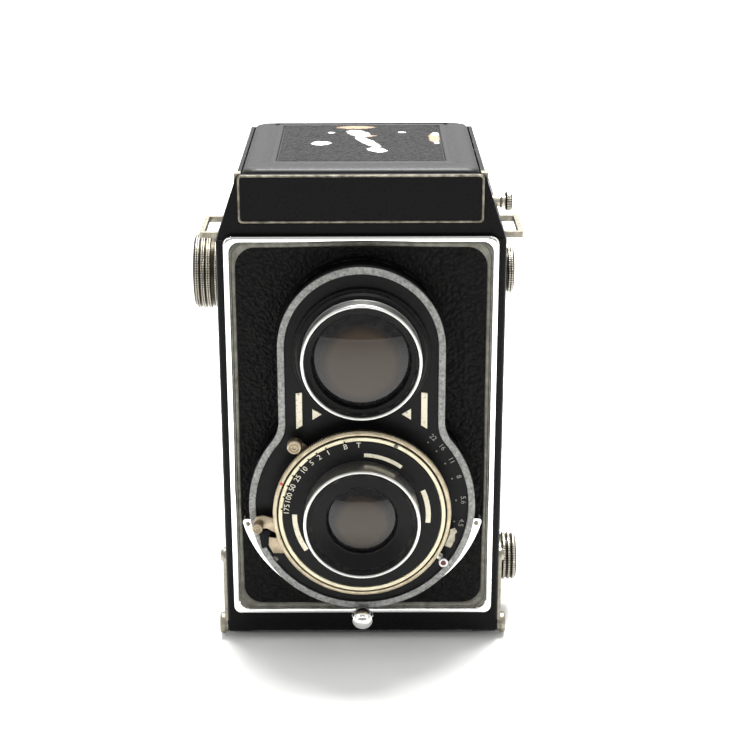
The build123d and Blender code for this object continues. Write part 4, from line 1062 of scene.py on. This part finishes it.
# %% Self-timer lever: a red dot in a white ring
timer_ring, timer_rear = layer_ring(1)
TIMER_ANGLE, TIMER_FRONT = -34.5, -47.6
TIMER_AT = round_place(26.5, TIMER_ANGLE, TIMER_FRONT)
timer_stem = [
    (0, timer_rear - 0.5), (1.0, timer_rear - 0.5), (1.1, -46.6), (1.25, -46.9), (1.25, -47.2), (1.2, -47.3),
    (0, -47.3),
]
timer = join([
    timer_ring,
    plate_y(arm_outline(ARM_ROOT, 27.0, TIMER_ANGLE, 1.3, 0.8), timer_rear - RING_THICK, timer_rear),
    turned(timer_stem, TIMER_AT, "Y", 32),
])
finish_piece(timer, "timer_lever_plate", "timer_lever", satin_chrome)
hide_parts("timer_lever")
timer_white = turned([
    (0.75, -47.25), (0.75, -47.5), (0.85, TIMER_FRONT), (1.1, -47.55), (1.22, -47.4), (1.2, -47.25),
    (0.75, -47.25),
], TIMER_AT, "Y", 32)
finish_piece(timer_white, "timer_white_ring", "timer_lever", white_fill, 40)
red_dot = [(0, -47.2), (0.77, -47.2), (0.77, -47.36), (0.5, -47.46), (0, -47.5)]
timer_red = turned(red_dot, TIMER_AT, "Y", 32)
finish_piece(timer_red, "timer_red_centre", "timer_lever", dark_red, 40)

# %% [markdown]
# ## Rounded frames
# The bezel, the lid and the nameplate are pressings: nested rounded rectangles at slightly
# different heights. The first loop is drawn vertex by vertex. Each next one is extruded from the
# one before and its vertices are moved, so the corner can tighten or open from loop to loop.

# %% Loops of a rounded rectangle, extruded one from the next
CORNER_STEPS = 8


def corner_points(low, high, radius):
    """Points round a rectangle between two corners, in mm, anticlockwise."""
    left, right = low[0] + radius, high[0] - radius
    near, far = low[1] + radius, high[1] - radius
    points = []
    for cx, cy, turn in ((right, far, 0), (left, far, 90), (left, near, 180), (right, near, 270)):
        for i in range(CORNER_STEPS + 1):
            a = radians(turn + 90 * i / CORNER_STEPS)
            points.append((cx + radius * cos(a), cy + radius * sin(a)))
    return points


def pressing(loops, plane, caps=(True, True)):
    """Extrudes loops of (low, high, radius, height) in turn. Plane Y stands up, Z lies flat."""
    rings = []
    for low, high, radius, height in loops:
        points = corner_points(low, high, radius)
        rings.append([Vector((u, height, v) if plane == "Y" else (u, v, height)) * MM for u, v in points])
    draw_line(rings[0] + rings[0][:1])
    bpy.ops.mesh.remove_doubles(threshold=1e-6)
    o = settle(bpy.context.object)
    for before, after in zip(rings, rings[1:]):
        mode("EDIT")
        extrude((0, 0, 0))
        mode("OBJECT")
        for v in o.data.vertices:
            if v.select:
                nearest = min(range(len(before)), key=lambda i: (before[i] - v.co).length_squared)
                v.co = after[nearest]
    mode("EDIT")
    if caps[1]:
        bpy.ops.mesh.edge_face_add()
    if caps[0]:
        bpy.ops.mesh.select_all(action="DESELECT")
        mode("OBJECT")
        for v in o.data.vertices[: len(rings[0])]:
            v.select = True
        mode("EDIT")
        bpy.ops.mesh.edge_face_add()
    weld()
    return settle(o)


def inset_loop(low, high, radius, by, height):
    """The same rectangle drawn in by a distance."""
    return (low[0] + by, low[1] + by), (high[0] - by, high[1] - by), radius, height


def upright_box(node):
    """The low and high corners of a node in X and Z, and its front face, all in mm."""
    low, high = low_of(node) / MM, high_of(node) / MM
    return (low.x, low.z), (high.x, high.z), low.y


def nested(low, high, face, steps, caps=(False, False)):
    """An upright pressing from steps of (distance in, corner radius, depth behind the face)."""
    return pressing([inset_loop(low, high, r, by, face + depth) for by, r, depth in steps], "Y", caps)


# %% Chrome bezel
BEZEL = upright_box("front_bezel")
bezel = nested(*BEZEL, (
    (0.0, 2.2, 1.5), (0.0, 2.2, 0.7), (0.12, 2.2, 0.3), (0.4, 2.2, 0.05), (0.7, 2.3, 0), (1.15, 2.7, 0),
    (1.45, 2.9, 0.12), (1.6, 3.1, 0.4), (1.6, 3.1, 1.5), (0.0, 2.2, 1.5),
))
finish_piece(bezel, "front_bezel_pressed", "camera_body", chrome)
# The inner step is dark metal as painted shade.
bezel_step = nested(*BEZEL, (
    (1.62, 3.1, 1.5), (1.62, 3.1, 0.45), (1.75, 3.4, 0.36), (2.0, 3.7, 0.38), (2.15, 3.9, 0.58),
    (2.6, 4.3, 0.62), (2.95, 4.8, 0.72), (3.15, 5.2, 0.95), (3.15, 5.2, 1.5), (1.62, 3.1, 1.5),
))
finish_piece(bezel_step, "front_bezel_step", "camera_body", step_painted_shade)
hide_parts("front_bezel")

# %% Nameplate: a plain plate with a worn metal border
NAMEPLATE = upright_box("nameplate")
body_plate = nested(*NAMEPLATE, (
    (0, 1.1, 1.6), (0, 1.1, 0.3), (0.1, 1.0, 0.18), (0.6, 0.8, 0.18), (0.7, 0.7, 0.25),
), caps=(True, True))
finish_piece(body_plate, "nameplate_blank", "camera_body", lacquer)
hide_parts("nameplate")
border = nested(*NAMEPLATE, (
    (0.0, 1.1, 0.35), (0.02, 1.1, 0.12), (0.15, 1.0, 0), (0.42, 0.9, 0), (0.55, 0.8, 0.1), (0.57, 0.8, 0.35),
    (0.0, 1.1, 0.35),
))
finish_piece(border, "nameplate_border", "camera_body", worn_border)

# %% [markdown]
# ## Lid
# The lid is a pressed sheet with a soft outer edge, a raised bead round the leather panel and a
# turned-down wall. The wall and the roof have a real thickness, because the lid opens.

# %% Lid pressing
LID_LOW, LID_HIGH = low_of("hood_lid") / MM, high_of("hood_lid") / MM
lid_low, lid_high = (LID_LOW.x, LID_LOW.y), (LID_HIGH.x, LID_HIGH.y)
LID_TOP, LID_RIM = LID_HIGH.z, LID_LOW.z


def panel(half, front, rear, radius, height):
    """A rounded rectangle centred on the middle plane."""
    return (-half, front), (half, rear), radius, height


lid_loops = [
    inset_loop(lid_low, lid_high, radius, by, height) for by, radius, height in (
        (1.0, 2.2, LID_RIM), (0.0, 2.6, LID_RIM), (0.0, 2.8, LID_TOP - 1.9), (0.22, 2.9, LID_TOP - 1.1),
        (0.75, 3.0, LID_TOP - 0.45), (1.6, 3.1, LID_TOP - 0.12), (2.8, 3.2, LID_TOP - 0.03),
    )
]
lid_loops += [
    panel(half, front, rear, radius, LID_TOP - depth) for half, front, rear, radius, depth in (
        (25.6, -25.2, 29.2, 1.5, 0.03), (25.1, -24.7, 28.7, 1.3, 0.32), (24.5, -24.1, 28.1, 1.2, 0.30),
        (24.0, -23.6, 27.6, 1.0, 0.02), (23.0, -22.6, 26.6, 0.8, 0.0), (22.5, -22.1, 26.1, 0.6, 0.1),
        (22.2, -21.8, 25.8, 0.4, 0.5), (2.0, -2.0, 2.0, 0.2, 0.5),
    )
]
outside = pressing(lid_loops, "Z", caps=(False, True))
inside = pressing([
    inset_loop(lid_low, lid_high, 2.2, 1.0, LID_RIM), inset_loop(lid_low, lid_high, 2.2, 1.0, LID_TOP - 1.0),
    panel(2.0, -2.0, 2.0, 0.2, LID_TOP - 1.0),
], "Z", caps=(False, True))
lid = join([outside, inside])
pick(lid)
mode("EDIT")
weld()
finish_piece(lid, "hood_lid_pressed", "hood_lid", lid_lacquer, 40)
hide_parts("hood_lid")

# %% Lid leather, a thin padded sheet with scuffs
leather_low, leather_high = low_of("lid_leather") / MM, high_of("lid_leather") / MM
EDGE = 1.2
sheet_low = (leather_low.x - EDGE, leather_low.y - EDGE)
sheet_high = (leather_high.x + EDGE, leather_high.y + EDGE)
sheet = pressing([
    inset_loop(sheet_low, sheet_high, 0.5, by, z) for by, z in (
        (0, leather_low.z), (0, leather_high.z - 0.15), (0.25, leather_high.z - 0.02), (0.8, leather_high.z),
    )
], "Z")
finish_piece(sheet, "lid_leather_sheet", "hood_lid", scuffed_leather, 40)
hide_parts("lid_leather")

# %% Screws that hold the focusing crescent
for side, hand in ((-1, "left"), (1, "right")):
    screw = dome_y(Vector((side * 31.0, -40.7, 39.0)) * MM, 0.7, 0.25, slot=True)
    finish_piece(screw, "crescent_screw_" + hand, "focus_lever", nickel, 40)
